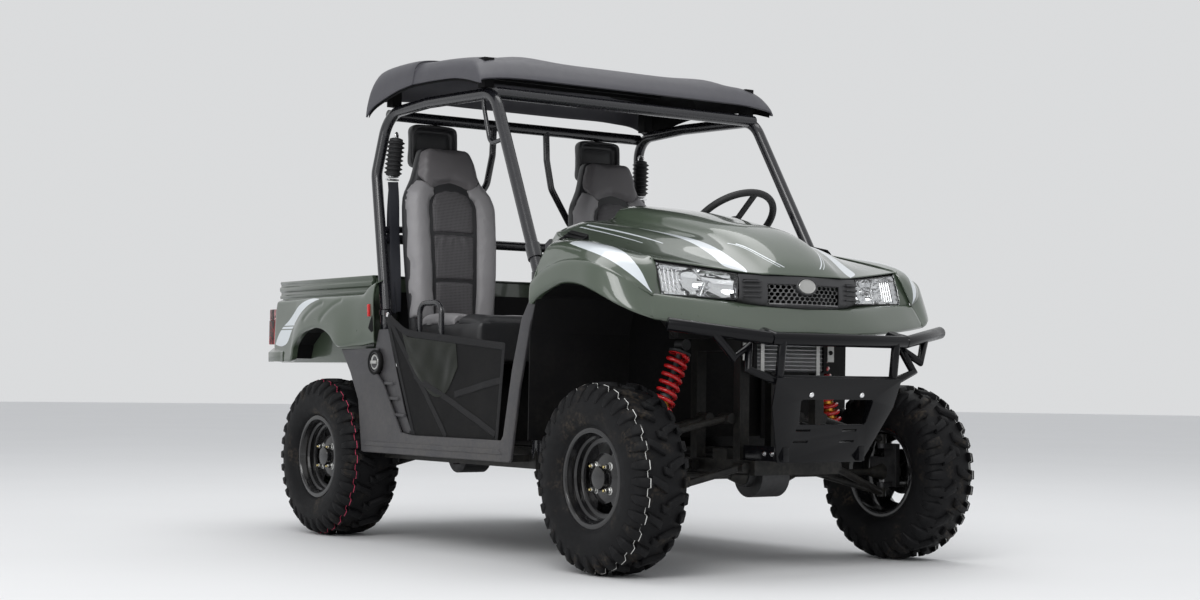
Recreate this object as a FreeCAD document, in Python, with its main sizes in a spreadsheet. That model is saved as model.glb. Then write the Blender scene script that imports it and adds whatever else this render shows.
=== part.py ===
"""Side by side utility vehicle: two seats, open cab under a hard roof, tipping cargo box, four driven wheels.

Frame of the model: +X forward, +Y to the vehicle's left, +Z up, origin on the ground under the middle of
the overall length.  Pieces are drawn about the middle of the wheelbase, and each piece's Placement then
moves it by mid_x to the row frame.  Millimetres.
"""

import FreeCAD, Part
import math
import os
from types import SimpleNamespace

import Sketcher
from FreeCAD import Placement, Rotation, Vector

os.makedirs("parts", exist_ok=True)
doc = FreeCAD.newDocument("side_by_side_utv")
sheet = doc.addObject("Spreadsheet::Sheet", "Dimensions")

# alias, value (mm or degrees), meaning
DIMENSIONS = [
    ("wheelbase", 1925, "front axle to rear axle"),
    ("front_overhang", 432, "front axle to the bumper's foremost face"),
    ("rear_overhang", 553, "rear axle to the drawbar's tip"),
    ("overall_width", 1510, "across the tyres' outer faces"),
    ("tyre_radius", 317.5, "out to the lug tips, 25 inch tyre"),
    ("front_tyre_width", 215, "across the front tyre's sidewalls"),
    ("rear_tyre_width", 250, "across the rear tyre's sidewalls"),
    ("rim_radius", 150, "12 inch rim, barrel outside"),
    ("rim_lip", 16, "rim flange height above the barrel"),
    ("rim_wall", 5, "rim sheet thickness"),
    ("disc_radius", 95, "brake disc"),
    ("kingpin_inset", 75, "front tyre's middle to the kingpin axis"),
    ("ball_low", 262, "height of the lower ball joint"),
    ("ball_high", 420, "height of the upper ball joint"),
    ("fit_gap", 0.3, "gap between seated pieces"),
    ("panel", 5, "thickness of the moulded panels"),
    ("rail_base", 325, "underside of the main rails"),
    ("rail_height", 50, "main rail height"),
    ("rail_width", 40, "main rail width"),
    ("rail_offset", 170, "centre line to a main rail's middle"),
    ("sill_rail_offset", 600, "centre line to a sill rail's middle"),
    ("skid_thickness", 4, "belly plate"),
    ("cage_radius", 22, "roll cage tube radius"),
    ("bar_radius", 22, "front bumper tube radius"),
    ("bumper_plate", 5, "front bumper plate thickness"),
    ("roof_half_width", 700, "centre line to the roof's edge"),
    ("roof_top", 1885, "highest point of the roof"),
    ("floor_lift", 80, "top of the cab floor above the rails' underside"),
    ("deck_height", 700, "top of the seat deck"),
    ("seat_offset", 400, "centre line to a seat's middle"),
    ("seat_width", 420, "seat back across the shoulders"),
    ("bed_floor", 706, "cargo box floor, top face"),
    ("bed_half_width", 640, "cargo box outside"),
    ("bed_front", 294.5, "cargo box front wall ahead of the rear axle"),
    ("bed_rear", 515.5, "cargo box rear end behind the rear axle"),
    ("bed_rail_top", 1048, "top of the cargo box rails"),
    ("bed_rail_height", 76, "height of the cargo box rails"),
    ("gate_thickness", 22, "tailgate"),
    ("fender_half_width", 738, "rear fender's outer lip"),
    ("sill_outer", 716, "side panel's outer face"),
    ("sill_low", 348, "side panel's lower edge"),
    ("sill_step", 76, "height of the sill step"),
    ("wheel_hand_radius", 175, "steering wheel, to the middle of the rim"),
    ("column_tilt", 50, "steering column above the horizontal, degrees"),
    ("hitch_hole", 19.5, "tow ball hole diameter"),
    ("hitch_plate", 10, "drawbar thickness"),
]


class Size(float):
    """A length that keeps the formula it comes from, so that what is drawn with it can be bound to the sheet."""

    def __new__(cls, value, text):
        size = super().__new__(cls, value)
        size.text = text
        return size

    def __add__(self, other):
        return Size(float(self) + float(other), f"({self.text} + {text_of(other)})")

    def __radd__(self, other):
        return Size(float(other) + float(self), f"({text_of(other)} + {self.text})")

    def __sub__(self, other):
        return Size(float(self) - float(other), f"({self.text} - {text_of(other)})")

    def __rsub__(self, other):
        return Size(float(other) - float(self), f"({text_of(other)} - {self.text})")

    def __mul__(self, other):
        return Size(float(self) * float(other), f"({self.text} * {text_of(other)})")

    __rmul__ = __mul__

    def __truediv__(self, other):
        return Size(float(self) / float(other), f"({self.text} / {text_of(other)})")

    def __neg__(self):
        return self * -1


def text_of(value):
    """A number, or a size's formula, as it goes into an expression."""
    return value.text if isinstance(value, Size) else f"({float(value):.6g})"


dim = SimpleNamespace()
for row, (alias, value, meaning) in enumerate(DIMENSIONS, 1):
    sheet.set(f"A{row}", meaning)
    sheet.set(f"B{row}", str(value))
    sheet.setAlias(f"B{row}", alias)
doc.recompute()
for alias, _, _ in DIMENSIONS:
    setattr(dim, alias, Size(float(getattr(sheet, alias)), "Dimensions." + alias))

# Worked out from the driving dimensions
mid_x = (dim.rear_overhang - dim.front_overhang) / 2
front_axle = dim.wheelbase / 2
rear_axle = -dim.wheelbase / 2
hub_height = dim.tyre_radius
front_track = (dim.overall_width - dim.front_tyre_width) / 2
rear_track = (dim.overall_width - dim.rear_tyre_width) / 2
kingpin_y = front_track - dim.kingpin_inset
rail_top = dim.rail_base + dim.rail_height
floor_height = dim.rail_base + dim.floor_lift
bed_front = rear_axle + dim.bed_front
bed_rear = rear_axle - dim.bed_rear
bed_rail_low = dim.bed_rail_top - dim.bed_rail_height
sill_high = dim.sill_low + dim.sill_step
pieces = []

# Stations are written as they were measured, with the axles this far either side of the middle
MEASURED_AXLE = 962.5
FOOT_WELL = (50, 390)


def at(x):
    """A measured station, moved with the nearer axle: the foot well takes up a change of the wheelbase."""
    back, front = FOOT_WELL
    share = max(-1.0, min(1.0, (2 * x - back - front) / (front - back)))
    return x + share * (front_axle - MEASURED_AXLE)


def line_at(points):
    """Measured (x, z) points, moved with the axles."""
    return [(at(x), z) for x, z in points]


def route_at(points):
    """Measured (x, y, z) points, moved with the axles."""
    return [(at(x), y, z) for x, y, z in points]


# Document objects bound to the sheet


def sized(item, **sizes):
    """Gives an object its sizes, each one that has a formula as an expression."""
    for name, value in sizes.items():
        setattr(item, name, float(value))
        if isinstance(value, Size):
            item.setExpression(name, value.text)
    return item


def placed(item, x, y, z, turn=Rotation()):
    """Puts an object at a point, each coordinate that has a formula as an expression."""
    item.Placement = Placement(Vector(x, y, z), turn)
    for axis, value in zip("xyz", (x, y, z)):
        if isinstance(value, Size):
            item.setExpression("Placement.Base." + axis, value.text)
    return item


def box(x0, x1, y0, y1, z0, z1):
    """A block between two corners."""
    item = placed(doc.addObject("Part::Box", "block"), x0, y0, z0)
    return sized(item, Length=x1 - x0, Width=y1 - y0, Height=z1 - z0)


def run_length(start, end):
    """Distance between two points, as a formula where they differ along one axis alone."""
    steps = [b - a for a, b in zip(start, end) if a != b]
    if len(steps) == 1:
        return steps[0] if steps[0] > 0 else steps[0] * -1
    return (Vector(*end) - Vector(*start)).Length


def rod(start, end, radius):
    """A round bar between two points."""
    item = doc.addObject("Part::Cylinder", "rod")
    placed(item, *start, Rotation(Vector(0, 0, 1), Vector(*end) - Vector(*start)))
    return sized(item, Radius=radius, Height=run_length(start, end))


def cone(start, end, first, last):
    """A round taper between two points."""
    item = doc.addObject("Part::Cone", "taper")
    placed(item, *start, Rotation(Vector(0, 0, 1), Vector(*end) - Vector(*start)))
    return sized(item, Radius1=first, Radius2=last, Height=run_length(start, end))


def solid(shape, name="form"):
    """A shape drawn from the sheet's values, as an object."""
    item = doc.addObject("Part::Feature", name)
    item.Shape = shape
    return item


def mirrored(item):
    """The same object on the vehicle's other side."""
    twin = doc.addObject("Part::Mirroring", item.Name + "_mirrored")
    twin.Source = item
    twin.Normal = Vector(0, 1, 0)
    return twin


def both(items):
    """Each object and its mirror image."""
    return items + [mirrored(item) for item in items]


def welded(items, name="weld", seamless=True):
    """Objects welded into one, where seamless with the seams between flat faces removed."""
    item = doc.addObject("Part::MultiFuse", name)
    item.Shapes = items
    item.Refine = seamless
    return item


def drilled(base, tools, name="drilling"):
    """An object with others taken out of it."""
    item = doc.addObject("Part::Cut", name)
    item.Base = base
    item.Tool = tools[0] if len(tools) == 1 else welded(tools, name + "_tools")
    return item


def gathered(items, name="set"):
    """Separate objects that make one piece of the vehicle."""
    item = doc.addObject("Part::Compound", name)
    item.Links = items
    return item


def drawn(item):
    """An object's shape as drawn about the wheelbase's middle."""
    doc.recompute()
    return item.Shape.copy()


def add_piece(name, *items):
    """One node from one or more objects drawn about the wheelbase's middle, moved to the row frame."""
    made = gathered(list(items), name)
    made.Label = name
    made.setExpression("Placement.Base.x", mid_x.text)
    pieces.append(made)
    return made


# Outlines and shapes that no primitive fits


def bent_path(points, bend):
    """A wire of straight runs joined by tangent arcs."""
    points = [Vector(*p) for p in points]
    edges, start = [], points[0]
    for before, corner, after in zip(points, points[1:], points[2:]):
        back = (before - corner).normalize()
        ahead = (after - corner).normalize()
        half_turn = (math.pi - back.getAngle(ahead)) / 2
        cut = min(bend * math.tan(half_turn), 0.45 * min((before - corner).Length, (after - corner).Length))
        radius = cut / math.tan(half_turn)
        first, last = corner + back * cut, corner + ahead * cut
        inward = (back + ahead).normalize()
        middle = corner + inward * (radius / math.cos(half_turn) - radius)
        edges += [Part.LineSegment(start, first).toShape(), Part.Arc(first, middle, last).toShape()]
        start = last
    edges.append(Part.LineSegment(start, points[-1]).toShape())
    return Part.Wire(edges)


def tube(points, radius, bend=80):
    """A bent round tube."""
    path = bent_path(points, bend)
    heading = Vector(*points[1]) - Vector(*points[0])
    ring = Part.Wire(Part.makeCircle(radius, Vector(*points[0]), heading))
    return solid(path.makePipe(Part.Face(ring)), "tube")


def polygon(points):
    """A closed wire through points."""
    points = [Vector(*p) for p in points]
    return Part.makePolygon(points + points[:1])


def side_profile(points_xz, y0, y1):
    """A side-view outline, drawn out between two distances from the centre line."""
    face = Part.Face(polygon([(x, y0, z) for x, z in points_xz]))
    return solid(face.extrude(Vector(0, y1 - y0, 0)), "profile")


def offset_line(points, thickness):
    """The open line moved to its right by a thickness, mitred at its corners."""
    normals = []
    for (u0, z0), (u1, z1) in zip(points, points[1:]):
        run = math.hypot(u1 - u0, z1 - z0)
        normals.append(((z1 - z0) / run, (u0 - u1) / run))
    moved = []
    for i, (u, z) in enumerate(points):
        a, b = normals[max(i - 1, 0)], normals[min(i, len(normals) - 1)]
        scale = thickness / (1 + float(a[0] * b[0] + a[1] * b[1]))
        moved.append((u + float(a[0] + b[0]) * scale, z + float(a[1] + b[1]) * scale))
    return moved


def strip(points, thickness):
    """A closed outline: the line and the same line moved aside by a thickness."""
    return points + offset_line(points, thickness)[::-1]


def section(x, y, heading, outline):
    """A closed wire in the upright plane through (x, y): outline holds (outward, height) pairs."""
    out_x, out_y = math.cos(math.radians(heading)), math.sin(math.radians(heading))
    return polygon([(x + u * out_x, y + u * out_y, z) for u, z in outline])


def loft(wires, ruled=True):
    """A solid through closed wires of equal point counts."""
    return Part.makeLoft(wires, True, ruled)


def butted(bar, start, wall, shift):
    """The bar cut off just short of a wall it runs into, keeping the stretch that holds its start point."""
    near = wall.copy()
    near.translate(Vector(*shift))
    stubs = bar.cut(near).Solids
    return min(stubs, key=lambda stub: stub.distToShape(Part.Vertex(*start))[0])


# Bodies made from sketches


def origin_plane(body, role):
    """A body's own base plane, found by its role."""
    return next(f for f in body.Origin.OriginFeatures if f.Role == role)


def new_sketch(body, name, role):
    """An empty sketch on one of the body's base planes."""
    sketch = body.newObject("Sketcher::SketchObject", name)
    sketch.AttachmentSupport = [(origin_plane(body, role), "")]
    sketch.MapMode = "FlatFace"
    return sketch


def hold(sketch, kind, name, value, *places):
    """A named distance in a sketch, bound to the sheet where it has a formula."""
    index = sketch.addConstraint(Sketcher.Constraint(kind, *places, float(value)))
    sketch.renameConstraint(index, name)
    if isinstance(value, Size):
        sketch.setExpression("Constraints." + name, value.text)


def draw_outline(sketch, points):
    """A closed outline of straight lines, every corner held at its distances from the sketch's origin."""
    corners = [Vector(x, y, 0) for x, y in points]
    first = sketch.GeometryCount
    for start, end in zip(corners, corners[1:] + corners[:1]):
        sketch.addGeometry(Part.LineSegment(start, end), False)
    for i in range(len(points)):
        after = first + (i + 1) % len(points)
        sketch.addConstraint(Sketcher.Constraint("Coincident", first + i, 2, after, 1))
    for i, (x, y) in enumerate(points, first):
        hold(sketch, "DistanceX", f"across_{i}", x, -1, 1, i, 1)
        hold(sketch, "DistanceY", f"up_{i}", y, -1, 1, i, 1)


def draw_circle(sketch, x, y, radius):
    """A circle held by its centre and radius."""
    index = sketch.addGeometry(Part.Circle(Vector(x, y, 0), Vector(0, 0, 1), float(radius)), False)
    hold(sketch, "DistanceX", f"across_{index}", x, -1, 1, index, 3)
    hold(sketch, "DistanceY", f"up_{index}", y, -1, 1, index, 3)
    hold(sketch, "Radius", f"radius_{index}", radius, index)


def turned(name, points):
    """A body turned round its upright axis from an outline of (radius, height) pairs."""
    body = doc.addObject("PartDesign::Body", name)
    sketch = new_sketch(body, name + "_outline", "XZ_Plane")
    draw_outline(sketch, points)
    turn = body.newObject("PartDesign::Revolution", name + "_turned")
    turn.Profile = sketch
    turn.ReferenceAxis = (sketch, ["V_Axis"])
    turn.Angle = 360
    doc.recompute()
    return body


def pocketed(body, name, sketch, depth, both_ways):
    """Cuts a sketch out of a body."""
    pocket = body.newObject("PartDesign::Pocket", name)
    pocket.Profile = sketch
    pocket.Type = 0
    pocket.Midplane = both_ways
    sized(pocket, Length=depth)
    doc.recompute()
    return pocket


def side_pad(name, points, inner, outer):
    """A body from a side-view outline, padded between two distances from the centre line."""
    body = doc.addObject("PartDesign::Body", name)
    sketch = new_sketch(body, name + "_outline", "XZ_Plane")
    draw_outline(sketch, points)
    pad = body.newObject("PartDesign::Pad", name + "_pad")
    pad.Profile = sketch
    pad.Reversed = True
    sized(pad, Length=outer - inner)
    placed(body, 0, inner, 0)
    doc.recompute()
    return body


# Wheels: a steel rim with its brake disc and hub, and a tyre seated on it

RIM_WINDOWS = 4
WINDOW_CIRCLE, WINDOW_RADIUS = 112, 17
RIM_SEAT = 22
DISH = 62


def stood(body, name, x, side, track):
    """Stands a wheel body, drawn round its own axis, on its axle."""
    body.Label = name
    placed(body, mid_x + x, side * track, hub_height, Rotation(Vector(1, 0, 0), -90 * side))
    pieces.append(body)


def make_rim(name, x, side, track, width):
    """Deep-dish steel rim: barrel, two flanges and a pressed disc with windows, drawn round the wheel's axis."""
    half = width / 2 - RIM_SEAT
    barrel, lip, wall = dim.rim_radius, dim.rim_radius + dim.rim_lip, dim.rim_wall
    face = half - DISH
    hub_back = face - 30
    # radius, distance outboard of the tyre's middle plane
    body = turned(name, [
        (lip, -half), (lip, -half + wall), (barrel, -half + wall), (barrel, half - wall), (lip, half - wall),
        (lip, half), (barrel - wall, half), (barrel - wall, face + 22), (118, face + 4), (92, face + 10),
        (60, face), (38, face), (38, face + 34), (0, face + 34), (0, hub_back), (dim.disc_radius, hub_back),
        (dim.disc_radius, hub_back + 6), (60, hub_back + 6), (60, face - wall), (92, face - wall),
        (118, face - 2), (barrel - wall, face + 10), (barrel - wall, -half),
    ])
    hole = new_sketch(body, name + "_window_outline", "XY_Plane")
    draw_circle(hole, WINDOW_CIRCLE, 0, WINDOW_RADIUS)
    window = pocketed(body, name + "_window", hole, width, True)
    spread = body.newObject("PartDesign::PolarPattern", name + "_windows")
    spread.Originals = [window]
    spread.Axis = (hole, ["N_Axis"])
    spread.Angle = 360
    spread.Occurrences = RIM_WINDOWS
    body.Tip = spread
    doc.recompute()
    stood(body, name, x, side, track)


TYRE_FACETS = 24
LUG_PITCHES = 16
LUG_HEIGHT, LUG_ACROSS, LUG_ROOT = 14, 26, 6
LUG_LEAN = 15


def facet_ring(outline, count):
    """A ring of flat facets round Z through a closed outline of (radius, height) pairs."""
    rows = []
    for step in range(count):
        angle = 2 * math.pi * step / count
        rows.append([Vector(r * math.cos(angle), r * math.sin(angle), z) for r, z in outline])
    faces = []
    for row, after in zip(rows, rows[1:] + rows[:1]):
        for a, b, c, d in zip(row, row[1:] + row[:1], after[1:] + after[:1], after):
            faces.append(Part.Face(Part.makePolygon([a, b, c, d, a])))
    shell = Part.makeShell(faces)
    shell.sewShape()
    ring = Part.makeSolid(shell)
    return ring if ring.Volume > 0 else ring.reversed()


def tread_lugs(radius, half):
    """Two staggered rows of slanted lugs, their tops flat at the tyre's radius."""
    long = half - 38
    lugs = []
    for side in (-1, 1):
        for step in range(LUG_PITCHES):
            around = Rotation(Vector(0, 0, 1), 360 * (step + (side > 0) / 2) / LUG_PITCHES)
            turn = around * Rotation(Vector(1, 0, 0), LUG_LEAN * side)
            middle = around.multVec(Vector(radius - LUG_HEIGHT - LUG_ROOT, 0, side * (4 + long / 2)))
            corner = middle - turn.multVec(Vector(0, LUG_ACROSS / 2, long / 2))
            lug = placed(doc.addObject("Part::Box", "lug"), *corner, turn)
            lugs.append(sized(lug, Length=LUG_HEIGHT + LUG_ROOT, Width=LUG_ACROSS, Height=long))
    return lugs


def make_tyre(name, x, side, track, width):
    """Tyre seated on the rim's barrel between the flanges: a faceted carcass with lugs out to its radius."""
    radius, half = dim.tyre_radius, width / 2
    slack = 1 / math.cos(math.pi / TYRE_FACETS)
    bead = half - RIM_SEAT - dim.rim_wall - dim.fit_gap
    inner = (dim.rim_radius + dim.fit_gap) * slack
    flange = (dim.rim_radius + dim.rim_lip + dim.fit_gap) * slack
    tread = radius - LUG_HEIGHT
    carcass = solid(facet_ring([
        (inner, -bead), (flange, -bead), (flange + 14, -half + 10), (radius * 0.78, -half),
        (radius * 0.93, -half + 8), (tread, -half + 34), (tread, half - 34), (radius * 0.93, half - 8),
        (radius * 0.78, half), (flange + 14, half - 10), (flange, bead), (inner, bead),
    ], TYRE_FACETS), name + "_carcass")
    stood(welded([carcass, *tread_lugs(radius, half)], name, seamless=False), name, x, side, track)


# name, axle position, side (+1 is left), middle of the tyre, tyre width
WHEELS = [
    ("front_left", front_axle, 1, front_track, dim.front_tyre_width),
    ("front_right", front_axle, -1, front_track, dim.front_tyre_width),
    ("rear_left", rear_axle, 1, rear_track, dim.rear_tyre_width),
    ("rear_right", rear_axle, -1, rear_track, dim.rear_tyre_width),
]
for corner, axle_x, side, track, width in WHEELS:
    make_rim("rim_" + corner, axle_x, side, track, width)
    make_tyre("tyre_" + corner, axle_x, side, track, width)


# Suspension: knuckles that carry the hubs, two A-arms a side, sprung dampers and half shafts

DISC_TO_FACE = 30
PLATE_GAP, PLATE_THICK = 6, 20


def hub_back_y(track, width):
    """Inboard face of the brake disc, measured from the centre line."""
    return track + width / 2 - RIM_SEAT - DISH - DISC_TO_FACE


def make_knuckle(x, pin_y, disc_y):
    """Upright on the left side: a plate behind the brake disc, an ear at each ball joint and the brake caliper."""
    plate_out = disc_y - PLATE_GAP
    plate_in = plate_out - PLATE_THICK
    grip_in, grip_out = hub_height - 12, hub_height + 52
    parts = [box(x - 30, x + 30, plate_in, plate_out, dim.ball_low, dim.ball_high)]
    for ear in (dim.ball_low, dim.ball_high - 16):
        parts.append(box(x - 16, x + 16, pin_y, plate_out, ear, ear + 16))
        parts.append(rod((x, pin_y, ear), (x, pin_y, ear + 16), 16))
    parts.append(rod((x, plate_in, hub_height), (x, disc_y - dim.fit_gap, hub_height), 32))
    caliper_slot = rod((x, disc_y - 5, hub_height), (x, disc_y + 11, hub_height), dim.disc_radius + 5)
    caliper = box(x - 106, x - 68, plate_out - 6, disc_y + 18, grip_in, grip_out)
    parts.append(drilled(caliper, [caliper_slot], "caliper"))
    parts.append(box(x - 106, x - 25, plate_in, plate_out, grip_in, grip_out))
    return welded(parts, "knuckle")


BOSS = 34
LOW_SPREAD, HIGH_SPREAD = 135, 60
ARM_ROOT_Y = dim.rail_offset + dim.rail_width / 2 + 18 + dim.fit_gap
LOW_ROOT, HIGH_ROOT = dim.rail_base + 25, dim.rail_base + 190
DAMPER_RADIUS = 22
FOOT_HALF = 18
SPRING_RADIUS = 33
SPRING_WIRE = 6


def make_arm(x, boss_y, boss_z, root_z, spread):
    """A-arm: two tubes from the ball joint's boss to a sleeve at each frame pivot."""
    middle = (x, boss_y, boss_z + BOSS * 0.43)
    parts = [rod((x, boss_y, boss_z), (x, boss_y, boss_z + BOSS), 17)]
    for lean in (-1, 1):
        pivot = (x + lean * spread, ARM_ROOT_Y, root_z)
        parts.append(rod(middle, pivot, 12.5))
        parts.append(rod((pivot[0] - 28, ARM_ROOT_Y, root_z), (pivot[0] + 28, ARM_ROOT_Y, root_z), 18))
    return welded(parts, "arm")


def arms_for(x, pin_y, foot):
    """Upper and lower arm of one left wheel, the lower one with the bracket that holds the damper's foot."""
    low_boss = dim.ball_low - BOSS - dim.fit_gap
    high_boss = dim.ball_high + dim.fit_gap
    lower = make_arm(x, pin_y, low_boss, LOW_ROOT, LOW_SPREAD)
    upper = make_arm(x, pin_y, high_boss, HIGH_ROOT, HIGH_SPREAD)
    foot_x, foot_y, foot_z = foot
    ahead = 1 if foot_x < x else -1
    share = float((pin_y - foot_y) / (pin_y - ARM_ROOT_Y))
    tube_x = x - ahead * LOW_SPREAD * share
    tube_z = low_boss + BOSS * 0.43 + (LOW_ROOT - low_boss - BOSS * 0.43) * share
    plate_x = foot_x + ahead * (FOOT_HALF + dim.fit_gap)
    x_ends = sorted([plate_x, plate_x + ahead * 6])
    reach = sorted([plate_x, tube_x])
    bracket = [box(*x_ends, foot_y - 18, foot_y + 18, tube_z - 6, foot_z + 18),
               box(*reach, foot_y - 12, foot_y + 12, tube_z - 6, tube_z + 6)]
    return [welded([lower, *bracket], "lower_arm"), upper]


def damper_parts(top, bottom):
    """Damper body with its two spring seats, and the coil spring round it."""
    head, foot = Vector(*top), Vector(*bottom)
    along = (foot - head).normalize()
    length = (foot - head).Length
    seat_high, seat_low = head + along * 34, head + along * (length * 0.80)
    seat_radius = SPRING_RADIUS + SPRING_WIRE
    damper = welded([
        rod(top, bottom, 10),
        rod((top[0] - 22, top[1], top[2]), (top[0] + 22, top[1], top[2]), 20),
        rod((bottom[0] - FOOT_HALF, bottom[1], bottom[2]), (bottom[0] + FOOT_HALF, bottom[1], bottom[2]), 18),
        rod(tuple(head + along * (length * 0.42)), tuple(seat_low + along * 12), DAMPER_RADIUS),
        rod(tuple(seat_high - along * 8), tuple(seat_high), seat_radius),
        rod(tuple(seat_low), tuple(seat_low + along * 8), seat_radius),
    ], "damper")
    ends = tuple(seat_high + along * dim.fit_gap), tuple(seat_low - along * dim.fit_gap)
    coil = drilled(rod(*ends, seat_radius), [rod(*ends, SPRING_RADIUS - SPRING_WIRE)], "coil")
    return damper, coil


rear_pin_y = rear_track - dim.kingpin_inset - 14
front_disc_y = hub_back_y(front_track, dim.front_tyre_width)
rear_disc_y = hub_back_y(rear_track, dim.rear_tyre_width)
front_knuckle = make_knuckle(front_axle, kingpin_y, front_disc_y)
rear_carrier = make_knuckle(rear_axle, rear_pin_y, rear_disc_y)
add_piece("knuckle_left", front_knuckle)
add_piece("knuckle_right", mirrored(front_knuckle))
add_piece("rear_carriers", rear_carrier, mirrored(rear_carrier))

# offset from the axle, then the share of the way from the arm's root to its ball joint, then the height
SUBFRAME_TOP = 785
REAR_TOP = 660
SHOCKS = {
    "front": [(-72.5, 0.2518, SUBFRAME_TOP - 20 - dim.fit_gap), (-86.5, 0.6691, LOW_ROOT + 2)],
    "rear": [(84.5, 0.3658, REAR_TOP - 42 - dim.fit_gap), (98.5, 0.6513, LOW_ROOT + 2)],
}


def shock_ends(group, axle_x, pin_y):
    """Top and foot of one left damper."""
    return [(axle_x + offset, ARM_ROOT_Y + (pin_y - ARM_ROOT_Y) * share, z) for offset, share, z in SHOCKS[group]]


front_shock = shock_ends("front", front_axle, kingpin_y)
rear_shock = shock_ends("rear", rear_axle, rear_pin_y)
add_piece("front_arms", *both(arms_for(front_axle, kingpin_y, front_shock[1])))
add_piece("rear_arms", *both(arms_for(rear_axle, rear_pin_y, rear_shock[1])))
front_damper, front_coil = damper_parts(*front_shock)
rear_damper, rear_coil = damper_parts(*rear_shock)
add_piece("shock_dampers", *both([front_damper, rear_damper]))
add_piece("shock_springs", *both([front_coil, rear_coil]))


def half_shaft(x, inner_y, outer_y):
    """Half shaft with a boot at each joint."""
    parts = [rod((x, inner_y, hub_height), (x, outer_y, hub_height), 12)]
    for y0, y1, r0, r1 in ((inner_y, inner_y + 55, 36, 15), (outer_y - 60, outer_y, 15, 30)):
        parts.append(cone((x, y0, hub_height), (x, y1, hub_height), r0, r1))
    return welded(parts, "half_shaft")


DIFF_HALF = 92
shafts = [half_shaft(front_axle, DIFF_HALF + dim.fit_gap, kingpin_y),
          half_shaft(rear_axle, DIFF_HALF + dim.fit_gap, rear_disc_y - PLATE_GAP - PLATE_THICK - dim.fit_gap)]
add_piece("half_shafts", *both(shafts))

cross_top = dim.rail_base + 22
engine_rear, engine_front = at(-580), at(-160)
engine_top = dim.deck_height - 60
PROP_HEIGHT = hub_height + 54.5


def driveline(x, shaft_end, toward):
    """Final drive case with its pinion nose and the propeller shaft to the engine."""
    nose = x + toward * 90
    return welded([
        rod((x, -62, hub_height), (x, 62, hub_height), 78),
        rod((x, -DIFF_HALF, hub_height), (x, DIFF_HALF, hub_height), 42),
        rod((x, 0, PROP_HEIGHT), (nose, 0, PROP_HEIGHT), 22),
        rod((nose, 0, PROP_HEIGHT), (shaft_end, 0, PROP_HEIGHT), 14),
    ], "driveline")


add_piece("drivelines", driveline(front_axle, engine_front + dim.fit_gap, -1),
          driveline(rear_axle, engine_rear - dim.fit_gap, 1))
add_piece("engine", box(engine_rear, engine_front, -140, 140, cross_top + dim.fit_gap, engine_top))
add_piece("muffler", welded([
    rod((at(-1215), -230, 569.7), (at(-1215), 130, 569.7), 60),
    tube([(at(-1215), 100, 560), (at(-900), 100, 560), (at(-860), 100, 540),
          (engine_rear - dim.fit_gap, 100, 540)], 18, 60),
    rod((at(-1215), -180, 560), (at(-1330), -180, 560), 20),
], "exhaust"))

# Frame sizes shared by what hangs on it
rail_in, rail_out = dim.rail_offset - dim.rail_width / 2, dim.rail_offset + dim.rail_width / 2
sill_in, sill_out = dim.sill_rail_offset - 20, dim.sill_rail_offset + 20
rail_front, rail_rear = at(1150), at(-1400)
saddle_top = hub_height + 78 + dim.fit_gap + 16
bed_pivot_x, bed_pivot_z = at(-1345), REAR_TOP - 18

# Front bumper: plate with a window under a tube hoop

BAR_Z, BAR_END_Z = 781, 822
plate_top_x, plate_low_x = at(1364), at(1262)
PLATE_TOP, PLATE_LOW = 655, 372
PLATE_OUTLINE = [(-279, PLATE_TOP), (279, PLATE_TOP), (272, 560), (190, PLATE_LOW), (-190, PLATE_LOW), (-272, 560)]
plate_lean = (plate_top_x - plate_low_x) / (PLATE_TOP - PLATE_LOW)
plate_wire = polygon([(plate_top_x - (PLATE_TOP - z) * plate_lean, y, z) for y, z in PLATE_OUTLINE])
bumper_sheet = solid(Part.Face(plate_wire).extrude(Vector(-dim.bumper_plate, 0, 0)), "bumper_sheet")
window = box(at(1200), at(1400), -145, 165, 500, 585)
SLOTS = [(-215, 30), (-175, 30), (175, 30), (215, 30)]
slots = [box(at(1200), at(1400), y - 6, y + 6, 540, 540 + tall) for y, tall in SLOTS]
bumper_parts = [
    drilled(bumper_sheet, [window, *slots], "bumper_face"),
    box(plate_top_x - 62, plate_top_x - 1, -279, 279, PLATE_TOP - 5, PLATE_TOP),
    tube(route_at([(1215, -612, BAR_END_Z), (1362, -300, BAR_Z), (1362, 300, BAR_Z), (1215, 612, BAR_END_Z)]),
         dim.bar_radius),
]
DOME = (1338, 113, 593)
for side in (-1, 1):
    dome = placed(doc.addObject("Part::Sphere", "dome_bolt"), at(DOME[0]), side * DOME[1], DOME[2])
    bumper_parts += [
        sized(dome, Radius=14),
        rod((plate_top_x - 20, side * 255, PLATE_TOP - 10), (at(1360), side * 255, BAR_Z), 15),
        tube(route_at([(1285, side * 470, 797), (1322, side * 400, 690), (1335, side * 250, 640)]), 15, 60),
        box(rail_front - 70, at(1285), side * dim.rail_offset - 12, side * dim.rail_offset + 12,
            rail_top + dim.fit_gap, 425),
    ]
add_piece("front_bumper", welded(bumper_parts, "bumper", seamless=False))

# Bodywork at the front: hood, fenders with the nose band, grille, lamps and the arch liners

# distance from the centre line, then the hood's line from its front lip to its rear edge as (x, z)
HOOD_PIVOT = (384, 1212)
HOOD_LINES = [
    (0, [(1191, 1003), (1100, 1092), (942, 1181), (804, 1212), (490, 1278), (365, 1292)]),
    (130, [(1184, 1004), (1094, 1088), (942, 1174), (804, 1206), (490, 1272), (365, 1286)]),
    (185, [(1170, 1005), (1085, 1075), (942, 1140), (804, 1168), (490, 1222), (370, 1238)]),
    (400, [(1108, 1024), (1035, 1058), (905, 1106), (780, 1134), (490, 1186), (390, 1202)]),
    (548, [(1052, 1044), (980, 1063), (860, 1087), (740, 1110), (560, 1145), (428, 1168)]),
]


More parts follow.
